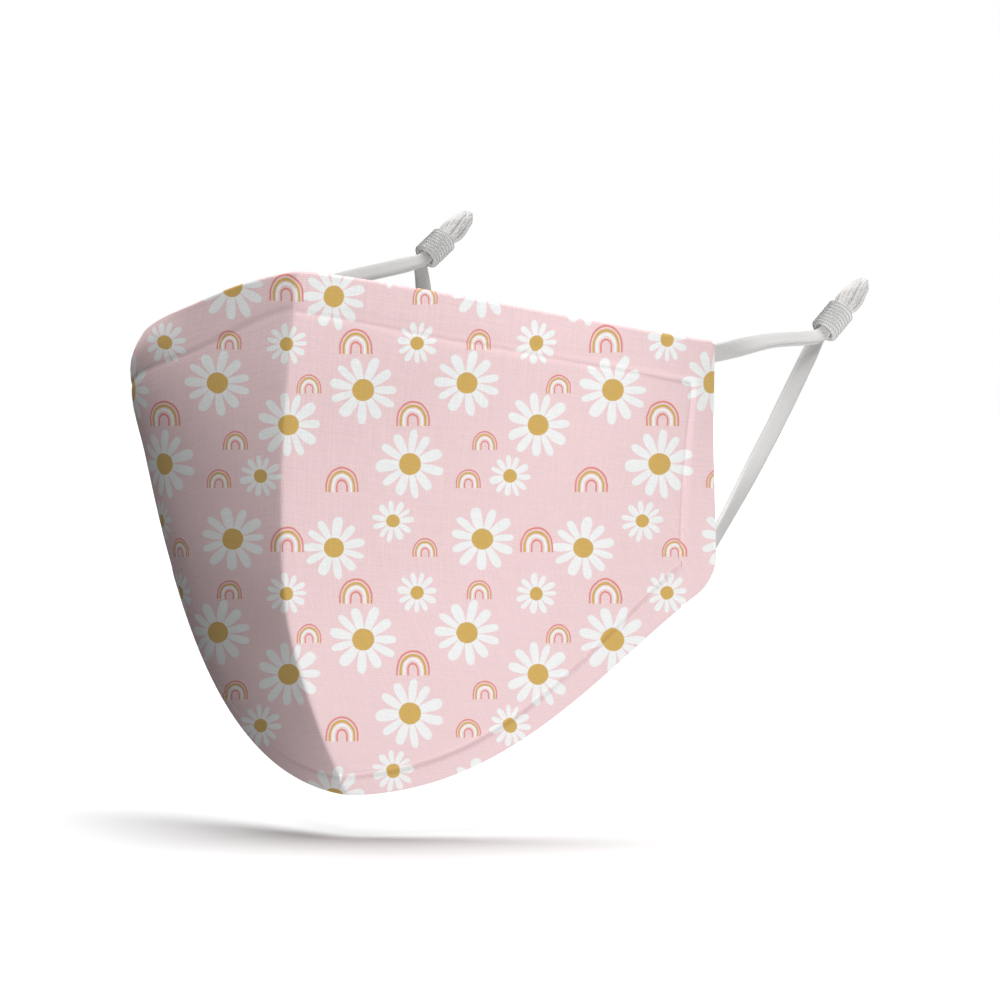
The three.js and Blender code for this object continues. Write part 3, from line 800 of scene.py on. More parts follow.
def tail_threads(name, adjuster, count, material):
    """Loose yarns of the slack tail: thin tubes that leave the sleeve together, swell a little and
    draw in again to a rounded tip, with the outer yarns shorter than the inner ones."""
    random = np.random.default_rng(7)
    share = np.linspace(0, 1, YARN_STEPS)
    index = np.arange(YARN_STEPS * YARN_SIDES).reshape(YARN_STEPS, YARN_SIDES)
    following = np.roll(index, -1, axis=1)
    quads = np.stack([index[:-1], following[:-1], following[1:], index[1:]], -1).reshape(-1, 4)
    points, faces, places = [], [], []
    for thread in range(count):
        out = math.sqrt((thread + 0.5) / count)
        reach = TAIL_LENGTH * (1.0 - YARN_SHORTER * out**3) * random.uniform(YARN_UNEVEN, 1.0)
        bend = random.normal(0, YARN_BEND, 2)
        rings, onward = yarn_tube(adjuster, out, YARN_TURN * thread, reach, bend, share)
        faces.append(quads + thread * index.size)
        points.append(rings.reshape(-1, 3))
        tone = random.uniform(0, 1)
        places.append(np.stack([np.full(index.size, tone), np.repeat(onward, YARN_SIDES)], -1))
    piece = new_object(name, np.concatenate(points), np.concatenate(faces), [material])
    add_map(piece.data, "band", np.concatenate(places))
    close_ends(piece, YARN_SIDES)
    return piece


def close_ends(piece, sides):
    """Fills the open ends of every thin tube."""
    bpy.ops.object.select_all(action="DESELECT")
    piece.select_set(True)
    bpy.context.view_layer.objects.active = piece
    bpy.ops.object.mode_set(mode="EDIT")
    bpy.ops.mesh.select_all(action="SELECT")
    bpy.ops.mesh.fill_holes(sides=sides)
    bpy.ops.mesh.normals_make_consistent(inside=False)
    bpy.ops.object.mode_set(mode="OBJECT")


class Tree:
    """Short calls that add shader nodes to a node tree."""

    def __init__(self, tree):
        self.tree = tree

    def add(self, kind, **settings):
        node = self.tree.nodes.new(kind)
        for name, value in settings.items():
            setattr(node, name, value)
        return node

    def put(self, socket, value):
        """A value or a link into a socket."""
        if isinstance(value, bpy.types.NodeSocket):
            self.tree.links.new(value, socket)
        else:
            socket.default_value = value

    def math(self, operation, *values, clamp=False):
        node = self.add("ShaderNodeMath", operation=operation, use_clamp=clamp)
        for socket, value in zip(node.inputs, values):
            self.put(socket, value)
        return node.outputs[0]

    def vector(self, operation, *values):
        node = self.add("ShaderNodeVectorMath", operation=operation)
        for socket, value in zip(node.inputs, values):
            self.put(socket, value)
        return node.outputs["Value" if operation in ("LENGTH", "DOT_PRODUCT") else "Vector"]

    def scaled(self, vector, scale):
        node = self.add("ShaderNodeVectorMath", operation="SCALE")
        self.put(node.inputs[0], vector)
        self.put(node.inputs["Scale"], scale)
        return node.outputs["Vector"]

    def apart(self, vector):
        node = self.add("ShaderNodeSeparateXYZ")
        self.put(node.inputs[0], vector)
        return node.outputs["X"], node.outputs["Y"], node.outputs["Z"]

    def together(self, x, y, z=0.0):
        node = self.add("ShaderNodeCombineXYZ")
        for socket, value in zip(node.inputs, (x, y, z)):
            self.put(socket, value)
        return node.outputs[0]

    def ramp(self, value, low, high, start=0.0, end=1.0):
        """An even curve from start to end as the value goes from low to high."""
        node = self.add("ShaderNodeMapRange", interpolation_type="SMOOTHSTEP", clamp=True)
        for socket, setting in zip(node.inputs, (value, low, high, start, end)):
            self.put(socket, setting)
        return node.outputs[0]

    def noise(self, vector, scale, detail=2.0, roughness=0.5):
        node = self.add("ShaderNodeTexNoise")
        self.put(node.inputs["Vector"], vector)
        node.inputs["Scale"].default_value = scale
        node.inputs["Detail"].default_value = detail
        node.inputs["Roughness"].default_value = roughness
        return node.outputs[0]

    def grain(self, x, y, x_scale, y_scale, detail):
        """Noise over two coordinates, each with its own scale."""
        place = self.together(self.math("MULTIPLY", x, x_scale), self.math("MULTIPLY", y, y_scale))
        return self.noise(place, 1.0, detail)

    def plain(self, colour):
        """A colour setting as a socket's value."""
        node = self.add("ShaderNodeRGB")
        node.outputs[0].default_value = (*colour, 1.0)
        return node.outputs[0]

    def noise_colour(self, vector, scale):
        node = self.add("ShaderNodeTexNoise")
        self.put(node.inputs["Vector"], vector)
        node.inputs["Scale"].default_value = scale
        node.inputs["Detail"].default_value = 1.0
        return node.outputs["Color"]

    def mix(self, factor, first, second):
        node = self.add("ShaderNodeMix", data_type="RGBA")
        self.put(node.inputs[0], factor)
        self.put(node.inputs[6], first)
        self.put(node.inputs[7], second)
        return node.outputs[2]

    def uv(self, name):
        return self.add("ShaderNodeUVMap", uv_map=name).outputs[0]


def node_group(name, inputs, outputs):
    """An empty shader group: its tree helper, its input sockets and its output node."""
    group = bpy.data.node_groups.new(name, "ShaderNodeTree")
    for title, kind in inputs:
        group.interface.new_socket(name=title, in_out="INPUT", socket_type=kind)
    for title in outputs:
        group.interface.new_socket(name=title, in_out="OUTPUT", socket_type="NodeSocketFloat")
    tree = Tree(group)
    return group, tree, tree.add("NodeGroupInput").outputs, tree.add("NodeGroupOutput").inputs


def motif_place(tree, place, centre, size):
    """The place in a motif, in shares of its size, with the repeat wrapped round."""
    offset = tree.vector("SUBTRACT", place, centre)
    wrapped = tree.vector("FRACTION", tree.vector("ADD", offset, (0.5, 0.5, 0.0)))
    return tree.scaled(tree.vector("SUBTRACT", wrapped, (0.5, 0.5, 0.0)), tree.math("DIVIDE", 1.0, size))


PETAL_FOOT = 0.055
PETAL_GROWTH = 0.125
PETAL_MIDDLE = 0.55
PETAL_REACH = 0.45
PETAL_ROUNDING = 2.4
DISC_RADIUS = 0.325
PRINT_EDGE = 0.0013


def daisy_group():
    """One daisy: separate rounded petals of slightly uneven length and spacing, and its disc."""
    group, tree, given, made = node_group(
        "daisy", [("Place", "NodeSocketVector"), ("Centre", "NodeSocketVector"),
                  ("Radius", "NodeSocketFloat"), ("Turn", "NodeSocketFloat")], ["Petals", "Disc"])
    turn = given["Turn"]
    local = motif_place(tree, given["Place"], given["Centre"], given["Radius"])
    x, y, _ = tree.apart(local)
    length = tree.vector("LENGTH", local)
    angle = tree.math("ADD", tree.math("ARCTAN2", y, x), turn)
    lean = tree.math("MULTIPLY", tree.math("SINE", tree.math("MULTIPLY_ADD", angle, 2.0, turn)), 0.06)
    sway = tree.math("MULTIPLY", tree.math("SINE", tree.math("MULTIPLY_ADD", angle, 5.0, turn)), 0.035)
    bent = tree.math("ADD", angle, tree.math("ADD", lean, sway))
    count = tree.math("MULTIPLY", bent, PETAL_COUNT / (2 * math.pi))
    number = tree.math("FLOOR", count)
    inside = tree.math("MULTIPLY", tree.math("SUBTRACT", tree.math("SUBTRACT", count, number), 0.5),
                       2 * math.pi / PETAL_COUNT)
    uneven = tree.math("SINE", tree.math("MULTIPLY_ADD", number, 2.4, turn))
    reach = tree.math("MULTIPLY", length, tree.math("MULTIPLY_ADD", uneven, 0.035, 1.01))
    along = tree.math("MULTIPLY", reach, tree.math("COSINE", inside))
    aside = tree.math("MULTIPLY", reach, tree.math("SINE", inside))
    half = tree.math("MULTIPLY_ADD", along, PETAL_GROWTH, PETAL_FOOT)
    from_middle = tree.math("DIVIDE", tree.math("SUBTRACT", along, PETAL_MIDDLE), PETAL_REACH)
    from_axis = tree.math("DIVIDE", aside, half)
    powers = tree.math("ADD", *(tree.math("POWER", tree.math("ABSOLUTE", off), PETAL_ROUNDING)
                                for off in (from_middle, from_axis)))
    outline = tree.math("POWER", powers, 1 / PETAL_ROUNDING)
    depth = tree.math("MULTIPLY", tree.math("SUBTRACT", 1.0, outline), half)
    edge = tree.math("DIVIDE", PRINT_EDGE, given["Radius"])
    tree.put(made["Petals"], tree.ramp(depth, tree.math("MULTIPLY", edge, -1.0), edge))
    inward = tree.math("SUBTRACT", DISC_RADIUS, length)
    tree.put(made["Disc"], tree.ramp(inward, tree.math("MULTIPLY", edge, -1.0), edge))
    return group


RAINBOW_LEG = 0.34
RAINBOW_RISE = 1.18
CORAL_OUTER = (0.945, 0.052)
GOLD_ARC = (0.735, 0.068)
WHITE_ARC = (0.535, 0.07)
CORAL_INNER = (0.305, 0.05)


def rainbow_group():
    """One rainbow: nested arcs on short legs with a level foot."""
    group, tree, given, made = node_group(
        "rainbow", [("Place", "NodeSocketVector"), ("Centre", "NodeSocketVector"),
                    ("Radius", "NodeSocketFloat")], ["Coral", "Gold", "White"])
    local = motif_place(tree, given["Place"], given["Centre"], given["Radius"])
    x, y, _ = tree.apart(local)
    over_legs = tree.math("MAXIMUM", tree.math("SUBTRACT", y, RAINBOW_LEG), 0.0)
    raised = tree.math("DIVIDE", over_legs, RAINBOW_RISE)
    length = tree.vector("LENGTH", tree.together(x, raised))
    edge = tree.math("DIVIDE", PRINT_EDGE, given["Radius"])
    back = tree.math("MULTIPLY", edge, -1.0)
    above = tree.ramp(y, back, edge)

    def arc(middle, half):
        off = tree.math("SUBTRACT", half, tree.math("ABSOLUTE", tree.math("SUBTRACT", length, middle)))
        return tree.math("MULTIPLY", tree.ramp(off, back, edge), above)

    tree.put(made["Coral"], tree.math("MAXIMUM", arc(*CORAL_OUTER), arc(*CORAL_INNER)))
    tree.put(made["Gold"], arc(*GOLD_ARC))
    tree.put(made["White"], arc(*WHITE_ARC))
    return group


# How fast a thread's thickness changes from one thread to the next and along a thread
SLUB_ACROSS = 0.9
SLUB_ALONG = 0.05


def weave_height(tree, place, pitch):
    """A plain weave: warp and weft threads that pass over each other in turn, uneven in thickness.
    Gives the height from 0 to 1 and the unevenness."""
    x, y, _ = tree.apart(tree.scaled(place, 1 / pitch))
    slub_x = tree.grain(x, y, SLUB_ACROSS, SLUB_ALONG, 1.0)
    slub_y = tree.grain(x, y, SLUB_ALONG, SLUB_ACROSS, 1.0)
    warp = tree.math("ABSOLUTE", tree.math("SINE", tree.math("MULTIPLY", x, math.pi)))
    weft = tree.math("ABSOLUTE", tree.math("SINE", tree.math("MULTIPLY", y, math.pi)))
    turns = tree.math("MULTIPLY", tree.math("COSINE", tree.math(
        "MULTIPLY", tree.math("ADD", tree.math("FLOOR", x), tree.math("FLOOR", y)), math.pi)), 0.5)
    warp_up = tree.math("MULTIPLY", warp, tree.math("ADD", turns, 1.0))
    weft_up = tree.math("MULTIPLY", weft, tree.math("SUBTRACT", 1.0, turns))
    threads = tree.math("MAXIMUM", warp_up, weft_up)
    slubs = tree.math("ADD", slub_x, slub_y)
    return tree.math("MULTIPLY", threads, tree.math("MULTIPLY", slubs, 0.66)), slubs


def new_material(name):
    """An empty node material with its shader node."""
    material = bpy.data.materials.new(name)
    material.use_nodes = True
    tree = Tree(material.node_tree)
    shader = material.node_tree.nodes["Principled BSDF"]
    return material, tree, shader


def bump_into(tree, shader, height, distance, strength=1.0):
    node = tree.add("ShaderNodeBump")
    node.inputs["Strength"].default_value = strength
    node.inputs["Distance"].default_value = distance
    tree.put(node.inputs["Height"], height)
    tree.put(shader.inputs["Normal"], node.outputs[0])


# How much the raised threads add to the cloth's colour, as painted shade that leaves the gaps
# between them darker, how much the thick threads and the ground add, and how far the threads stand out, in
# metres
WEAVE_PAINTED_SHADE = 0.11
SLUB_SHADE = 0.05
GROUND_SHADE = 0.875
THREAD_RELIEF = 0.00006


def cloth_shading(tree, shader, colour, settings):
    """Woven cotton: the weave lifts the surface, and its raised threads lighten the colour while the gaps
    between them stay darker as painted shade, over a dry soft sheen.
    """
    height, slubs = weave_height(tree, tree.uv("cloth"), settings.thread_pitch)
    # Painted shade: the colour follows the weave's height, darker between the raised threads; the slubs are
    # an uneven thread tone.
    thread_shade_and_slubs = tree.math("ADD", tree.math("MULTIPLY", height, WEAVE_PAINTED_SHADE),
                      tree.math("MULTIPLY", slubs, SLUB_SHADE))
    tree.put(shader.inputs["Base Color"], tree.scaled(colour, tree.math("ADD", thread_shade_and_slubs, GROUND_SHADE)))
    tree.put(shader.inputs["Roughness"], tree.math("MULTIPLY_ADD", height, -0.08, 0.92))
    shader.inputs["Specular IOR Level"].default_value = 0.2
    shader.inputs["Sheen Weight"].default_value = 0.06
    shader.inputs["Sheen Roughness"].default_value = 0.5
    bump_into(tree, shader, height, THREAD_RELIEF)


# Unsteady hand of the print's drawing: its scale per repeat and its size in repeats
WOBBLE_SCALE = 22.0
WOBBLE_SIZE = 0.006


def printed_cloth_material(settings):
    """The printed cotton: daisies and small rainbows on pink, with the weave over them."""
    material, tree, shader = new_material("daisy_print_cotton")
    place = tree.uv("print")
    wobble = tree.vector("SUBTRACT", tree.noise_colour(place, WOBBLE_SCALE), (0.5, 0.5, 0.5))
    drawn = tree.vector("ADD", place, tree.scaled(wobble, WOBBLE_SIZE))
    flat = tree.vector("MULTIPLY", drawn, (1.0, 1.0, 0.0))
    layers = {"Petals": [], "Disc": [], "Coral": [], "Gold": [], "White": []}
    daisy, rainbow = daisy_group(), rainbow_group()
    for group, table in ((daisy, DAISIES), (rainbow, RAINBOWS)):
        for right, up, size, *turn in table:
            node = tree.add("ShaderNodeGroup", node_tree=group)
            tree.put(node.inputs["Place"], flat)
            node.inputs["Centre"].default_value = (right, up, 0.0)
            node.inputs["Radius"].default_value = size
            if turn:
                node.inputs["Turn"].default_value = turn[0]
            for output in node.outputs:
                layers[output.name].append(output)
    merged = {}
    for name, outputs in layers.items():
        merged[name] = outputs[0]
        for output in outputs[1:]:
            merged[name] = tree.math("MAXIMUM", merged[name], output)
    colour = tree.mix(tree.math("MAXIMUM", merged["Petals"], merged["White"]),
                      (*settings.cloth_colour, 1.0), (*settings.petal_colour, 1.0))
    golden = tree.math("MAXIMUM", merged["Disc"], merged["Gold"])
    colour = tree.mix(golden, colour, (*settings.gold_colour, 1.0))
    colour = tree.mix(merged["Coral"], colour, (*settings.coral_colour, 1.0))
    cloth_shading(tree, shader, colour, settings)
    return material


# Uneven tone of the lining: its scale per metre and its darkest level
LINING_SCALE = 60.0
LINING_DARKEST = 0.94


def lining_material(settings):
    """The plain pale cotton on the inside."""
    material, tree, shader = new_material("plain_lining")
    tone = tree.noise(tree.uv("cloth"), LINING_SCALE, 3.0)
    darker = [LINING_DARKEST * channel for channel in settings.lining_colour]
    colour = tree.mix(tone, (*settings.lining_colour, 1.0), (*darker, 1.0))
    cloth_shading(tree, shader, colour, settings)
    return material


# Scales of fine noise: the elastic's fuzz per metre across and along it, the yarns' grain from
# yarn to yarn and per metre along them, and the sleeve's haze up and round its ribs
FUZZ_SCALES = (6000.0, 500.0)
YARN_GRAIN_SCALES = (50.0, 700.0)
HAZE_SCALES = (3.0, 9.0)
# How far a stitch slants over one wale and how far the knit stands out, in metres, and how much
# the knit's raised stitches lighten the colour, as painted shade in its grooves, and how much its fuzz
# lightens it
STITCH_SLANT = 0.00025
KNIT_RELIEF = 0.00008
KNIT_PAINTED_SHADE = 0.16
FUZZ_SHADE = 0.18


def elastic_material(settings):
    """Soft knitted elastic: fine wales that run along it, crossed by faint courses."""
    material, tree, shader = new_material("knitted_elastic")
    x, y, _ = tree.apart(tree.uv("band"))
    wale = tree.math("ABSOLUTE", tree.math("SINE", tree.math("MULTIPLY", x, math.pi / settings.wale_pitch)))
    slant = tree.math("MULTIPLY", wale, STITCH_SLANT)
    course = tree.math("ABSOLUTE", tree.math("SINE", tree.math(
        "MULTIPLY", tree.math("ADD", y, slant), math.pi / settings.course_pitch)))
    fuzz = tree.grain(x, y, *FUZZ_SCALES, 2.0)
    height = tree.math("ADD", tree.math("MULTIPLY", wale, 0.6), tree.math("MULTIPLY", course, 0.4))
    # Painted shade: the knit's grooves stay darker than its raised stitches; the fuzz is an uneven tone.
    level = tree.math("ADD", tree.math("MULTIPLY", height, KNIT_PAINTED_SHADE),
                      tree.math("MULTIPLY_ADD", fuzz, FUZZ_SHADE, 0.75))
    tree.put(shader.inputs["Base Color"], tree.scaled(tree.plain(settings.elastic_colour), level))
    tree.put(shader.inputs["Roughness"], tree.math("MULTIPLY_ADD", fuzz, 0.15, 0.68))
    shader.inputs["Sheen Weight"].default_value = 0.15
    shader.inputs["Sheen Roughness"].default_value = 0.4
    bump_into(tree, shader, tree.math("ADD", height, tree.math("MULTIPLY", fuzz, 0.4)), KNIT_RELIEF)
    return material


def yarn_material(settings):
    """Loose yarns of the tails, each of a slightly different tone, with a soft grain along them."""
    material, tree, shader = new_material("loose_yarn")
    tone, along, _ = tree.apart(tree.uv("band"))
    grain = tree.grain(tone, along, *YARN_GRAIN_SCALES, 2.0)
    level = tree.math("ADD", tree.math("MULTIPLY_ADD", tone, 0.16, 0.84), tree.math("MULTIPLY", grain, 0.12))
    tree.put(shader.inputs["Base Color"], tree.scaled(tree.plain(settings.elastic_colour), level))
    tree.put(shader.inputs["Roughness"], tree.math("MULTIPLY_ADD", grain, 0.2, 0.7))
    shader.inputs["Sheen Weight"].default_value = 0.1
    return material


def silicone_material(settings):
    """Clear soft silicone: thin between the ribs, where it lets the elastic show, and less clear along
    the crests, with a grey line of painted shade along each crest."""
    material, tree, shader = new_material("clear_silicone")
    crest, turn, _ = tree.apart(tree.uv("ribs"))
    haze = tree.grain(crest, turn, *HAZE_SCALES, 2.0)
    # Painted shade: a grey line along each rib's crest stands in for the dark line a clear rib shows.
    ring = tree.math("POWER", crest, settings.ring_sharpness)
    colour = tree.mix(ring, (*settings.silicone_colour, 1.0), (*settings.crest_shade_colour, 1.0))
    tree.put(shader.inputs["Base Color"], colour)
    tree.put(shader.inputs["Roughness"], tree.math("MULTIPLY_ADD", haze, 0.1, 0.25))
    tree.put(shader.inputs["Alpha"], tree.math("MULTIPLY_ADD", ring, 0.35, 0.6))
    return material


# Studio: the floor's two tones, its darker tone for light that bounces on to the mask, and its
# size, the lamps' distance and the camera's nearest and farthest distance, in metres
FLOOR_LIGHT = (0.93, 0.93, 0.93)
FLOOR_DARK = (0.9, 0.9, 0.9)
FLOOR_BOUNCE = (0.1, 0.1, 0.1)
FLOOR_SIZE = 30
LAMP_DISTANCE = 3
CLIP_DISTANCES = (0.01, 100)


def clear_sight(tree):
    """1 for what the camera sees straight or through clear material, 0 for light on its way."""
    path = tree.add("ShaderNodeLightPath").outputs
    return tree.math("MAXIMUM", path["Is Camera Ray"], path["Is Transmission Ray"])


def floor_material():
    """A pale matt floor. It sends little light back up, so that the shaded side stays shaded."""
    material, tree, shader = new_material("pale_floor")
    place = tree.add("ShaderNodeTexCoord").outputs["Object"]
    tone = tree.noise(place, 3.0, 3.0)
    colour = tree.mix(tone, (*FLOOR_LIGHT, 1.0), (*FLOOR_DARK, 1.0))
    tree.put(shader.inputs["Base Color"], tree.mix(clear_sight(tree), (*FLOOR_BOUNCE, 1.0), colour))
    shader.inputs["Roughness"].default_value = 0.95
    shader.inputs["Specular IOR Level"].default_value = 0.0
    return material


class ClothSettings(bpy.types.PropertyGroup):
    """Sizes and colours of the printed cloth."""

    line_width: FloatProperty(name="Pressed line width", default=0.0036, unit="LENGTH",
                              description="Width of the pressed line between a panel and its folded edges")
    depth_left: FloatProperty(name="Left line depth", default=0.0006, unit="LENGTH",
                              description="Depth of the pressed line below the panel on the wearer's left")
    depth_right: FloatProperty(name="Right line depth", default=0.0001, unit="LENGTH",
                               description="Depth of the pressed line below the panel on the wearer's right")
    fold_height: FloatProperty(name="Fold height", default=0.0002, unit="LENGTH",
                               description="How far a folded edge stands out from the panel")
    crown: FloatProperty(name="Crown", default=0.00012, unit="LENGTH", description="Swell of the hems")
    puff: FloatProperty(name="Cheek puff", default=0.0012, unit="LENGTH",
                        description="Loose swell of the nose band over the right cheek")
    unevenness: FloatProperty(name="Unevenness", default=0.00018, unit="LENGTH",
                              description="Height of the slight waves in the panels")
    thread_pitch: FloatProperty(name="Thread pitch", default=0.00055, unit="LENGTH",
                                description="Distance between two threads of the weave")
    cloth_colour: FloatVectorProperty(name="Cloth colour", subtype="COLOR", size=3,
                                      default=(0.87, 0.65, 0.665),
                                      description="Ground colour of the print")
    petal_colour: FloatVectorProperty(name="Petal colour", subtype="COLOR", size=3,
                                      default=(0.89, 0.9, 0.895),
                                      description="Petals of the daisies and the white arcs")
    gold_colour: FloatVectorProperty(name="Gold colour", subtype="COLOR", size=3,
                                     default=(0.66, 0.43, 0.125),
                                     description="Discs of the daisies and the gold arcs")
    coral_colour: FloatVectorProperty(name="Coral colour", subtype="COLOR", size=3,
                                      default=(0.77, 0.27, 0.24),
                                      description="Outer and inner arcs of the rainbows")
    lining_colour: FloatVectorProperty(name="Lining colour", subtype="COLOR", size=3,
                                       default=(0.84, 0.83, 0.81),
                                       description="Plain cotton on the inside")


class LoopSettings(bpy.types.PropertyGroup):
    """Finish of the ear loops."""

    elastic_colour: FloatVectorProperty(name="Elastic colour", subtype="COLOR", size=3,
                                        default=(0.68, 0.665, 0.65),
                                        description="Colour of the knitted elastic")
    wale_pitch: FloatProperty(name="Wale pitch", default=0.00038, unit="LENGTH",
                              description="Distance between two ribs along the elastic")
    course_pitch: FloatProperty(name="Course pitch", default=0.0006, unit="LENGTH",
                                description="Distance between two stitches along a rib")
    thread_count: IntProperty(name="Tail threads", default=26, min=10,
                              description="Number of loose yarns in each tail")


class AdjusterSettings(bpy.types.PropertyGroup):
    """Sizes and finish of the adjusters."""

    rib_count: IntProperty(name="Ribs", default=8, min=1, description="Ribs round each sleeve")
    rib_depth: FloatProperty(name="Rib depth", default=0.0011, unit="LENGTH",
                             description="Depth of the groove between two ribs")
    silicone_colour: FloatVectorProperty(name="Silicone colour", subtype="COLOR", size=3,
                                         default=(0.96, 0.96, 0.95),
                                         description="Tint of the clear sleeve")
    # Painted shade: the grey along the crests of the ribs
    crest_shade_colour: FloatVectorProperty(name="Crest colour", subtype="COLOR", size=3,
                                      default=(0.42, 0.42, 0.41),
                                      description="Tint along the crests of the ribs")
    ring_sharpness: FloatProperty(name="Ring sharpness", default=5.0, min=1.0,
                                  description="How narrow the grey line along each crest is")


class StageSettings(bpy.types.PropertyGroup):
    """Floor and lights."""

    floor_height: FloatProperty(name="Floor height", default=-0.148, unit="LENGTH",
                                description="Height of the floor, just under the chin")
    front_strength: FloatProperty(name="Front light", default=1.5,
                                  description="Strength of the light in front")
    top_strength: FloatProperty(name="Top light", default=4.0,
                                description="Strength of the light above")
    back_strength: FloatProperty(name="Back light", default=0.5,
                                 description="Strength of the light behind")
    low_strength: FloatProperty(name="Low light", default=2.15,
                                description="Strength of the light from below")


class MASK_OT_front_panels(bpy.types.Operator):
    """Make the two shaped front panels of printed cloth"""

    bl_idname = "mask.front_panels"
    bl_label = "Front Panels"

    def execute(self, context):
        settings = context.scene.mask_cloth
        for name, side in (("left", 1), ("right", -1)):
            half = cloth_half("panel", panel_patch(half_borders(side)), side, settings)
            piece = cloth_piece(f"front_panel_{name}", [half], material("plain_lining"),
                                material("daisy_print_cotton"))
        return {"FINISHED"}


class MASK_OT_hems(bpy.types.Operator):
    """Make the folded hems over the nose and under the chin"""

    bl_idname = "mask.hems"
    bl_label = "Hems"

    def execute(self, context):
        settings = context.scene.mask_cloth
        printed = material("daisy_print_cotton")
        for name, kind, make in (("nose_band", "nose", nose_patch), ("chin_hem", "chin", chin_patch)):
            halves = []
            for side in (-1, 1):
                patch = make(half_borders(side), settings.fold_height)
                halves.append(cloth_half(kind, patch, side, settings))
            cloth_piece(name, halves, printed, printed)
        return {"FINISHED"}


class MASK_OT_side_casings(bpy.types.Operator):
    """Make the folded casings down the two side edges"""

    bl_idname = "mask.side_casings"
    bl_label = "Side Casings"

    def execute(self, context):
        settings = context.scene.mask_cloth
        printed = material("daisy_print_cotton")
        for name, side in (("left", 1), ("right", -1)):
            patch = casing_patch(half_borders(side), settings.fold_height)
            half = cloth_half("casing", patch, side, settings)
            cloth_piece(f"side_casing_{name}", [half], printed, printed)
        return {"FINISHED"}


class MASK_OT_ear_loops(bpy.types.Operator):
    """Make the two ear loops of knitted elastic and their slack tails"""

    bl_idname = "mask.ear_loops"
    bl_label = "Ear Loops"

    def execute(self, context):
        settings = context.scene.mask_loops
        elastic, yarn = elastic_material(settings), yarn_material(settings)
        for name in LOOP_POSES:
            stations = joined_stations(loop_stations(name, STRAND_STEPS))
            band = elastic_band(f"ear_loop_{name}_elastic", stations, BAND_SIDES, elastic, RIDGE_SHARE)
            threads = tail_threads(f"ear_loop_{name}_tail", adjuster_frame(LOOP_POSES[name]),
                                   settings.thread_count, yarn)
            for piece in (band, threads):
                smooth(piece, 60)
                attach(piece, "root")
            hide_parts(f"ear_loop_{name}")
        return {"FINISHED"}


class MASK_OT_adjusters(bpy.types.Operator):
    """Make the two ribbed sleeves that grip the ear loops"""

    bl_idname = "mask.adjusters"
    bl_label = "Adjusters"

    def execute(self, context):
        settings = context.scene.mask_adjusters
        silicone = silicone_material(settings)
        sleeve = ribbed_sleeve(settings)
        for name, pose in LOOP_POSES.items():
            piece = sleeve.copy()
            piece.data = sleeve.data.copy()
            piece.name = f"adjuster_{name}_sleeve"
            bpy.context.scene.collection.objects.link(piece)
            centre, axis, stack, across_way = adjuster_frame(pose)
            turned = Matrix([across_way, stack, axis]).transposed().to_4x4()
            piece.data.transform(Matrix.Translation(Vector(centre)) @ turned)
            piece.data.materials.append(silicone)
            smooth(piece, 60)
            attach(piece, "root")
            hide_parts(f"adjuster_{name}")
        bpy.data.objects.remove(sleeve)
        return {"FINISHED"}


# Places up one rib at which its outline is drawn, and the sleeve's smaller sizes in metres
RIB_STEPS = (0.0, 0.08, 0.2, 0.35, 0.5, 0.65, 0.8, 0.92)
BORE_CHAMFER = 0.0003
MOUTH_RISE = 0.00001
WELD_DISTANCE = 0.000002
SLEEVE_SIDES = 72


def ribbed_sleeve(settings):
    """The sleeve stands on the origin along +Z: a ring is drawn up rib by rib and closed through
    the bore."""
    crest = ADJUSTER_BORE + SLEEVE_WALL
    groove = crest - settings.rib_depth
    pitch = ADJUSTER_LENGTH / settings.rib_count
    foot = -ADJUSTER_LENGTH / 2
    profile = []
    for rib in range(settings.rib_count):
        for share in RIB_STEPS:
            lift = math.sqrt(math.sin(math.pi * share)) if share else 0.0
            profile.append((lerp(groove, crest, lift), foot + (rib + share) * pitch))
    profile.append((groove, -foot))
    profile.append((ADJUSTER_BORE + BORE_CHAMFER, -foot + MOUTH_RISE))
    profile.append((ADJUSTER_BORE, -foot - BORE_CHAMFER))
    profile.append((ADJUSTER_BORE, foot + BORE_CHAMFER))
    profile.append((ADJUSTER_BORE + BORE_CHAMFER, foot - MOUTH_RISE))
    bpy.ops.object.select_all(action="DESELECT")
    radius, height = profile[0]
    bpy.ops.mesh.primitive_circle_add(vertices=SLEEVE_SIDES, radius=radius, location=(0, 0, height))
    sleeve = bpy.context.active_object
    bpy.ops.object.transform_apply(location=True, rotation=True, scale=True)
    bpy.ops.object.mode_set(mode="EDIT")
    bpy.ops.mesh.select_all(action="SELECT")
    for next_radius, next_height in [*profile[1:], profile[0]]:
        bpy.ops.mesh.extrude_region_move(TRANSFORM_OT_translate={"value": (0, 0, next_height - height)})
        ratio = next_radius / radius
        bpy.ops.transform.resize(value=(ratio, ratio, 1), center_override=(0, 0, next_height))
        radius, height = next_radius, next_height
    bpy.ops.mesh.select_all(action="SELECT")
    bpy.ops.mesh.remove_doubles(threshold=WELD_DISTANCE)
    bpy.ops.mesh.normals_make_consistent(inside=False)
    bpy.ops.object.mode_set(mode="OBJECT")
    points = np.array([vertex.co for vertex in sleeve.data.vertices])
    crest_share = np.clip((np.hypot(points[:, 0], points[:, 1]) - groove) / settings.rib_depth, 0, 1)
    around = np.abs(np.arctan2(points[:, 1], points[:, 0])) / math.pi
    add_map(sleeve.data, "ribs", np.stack([crest_share, around], -1))
    return sleeve


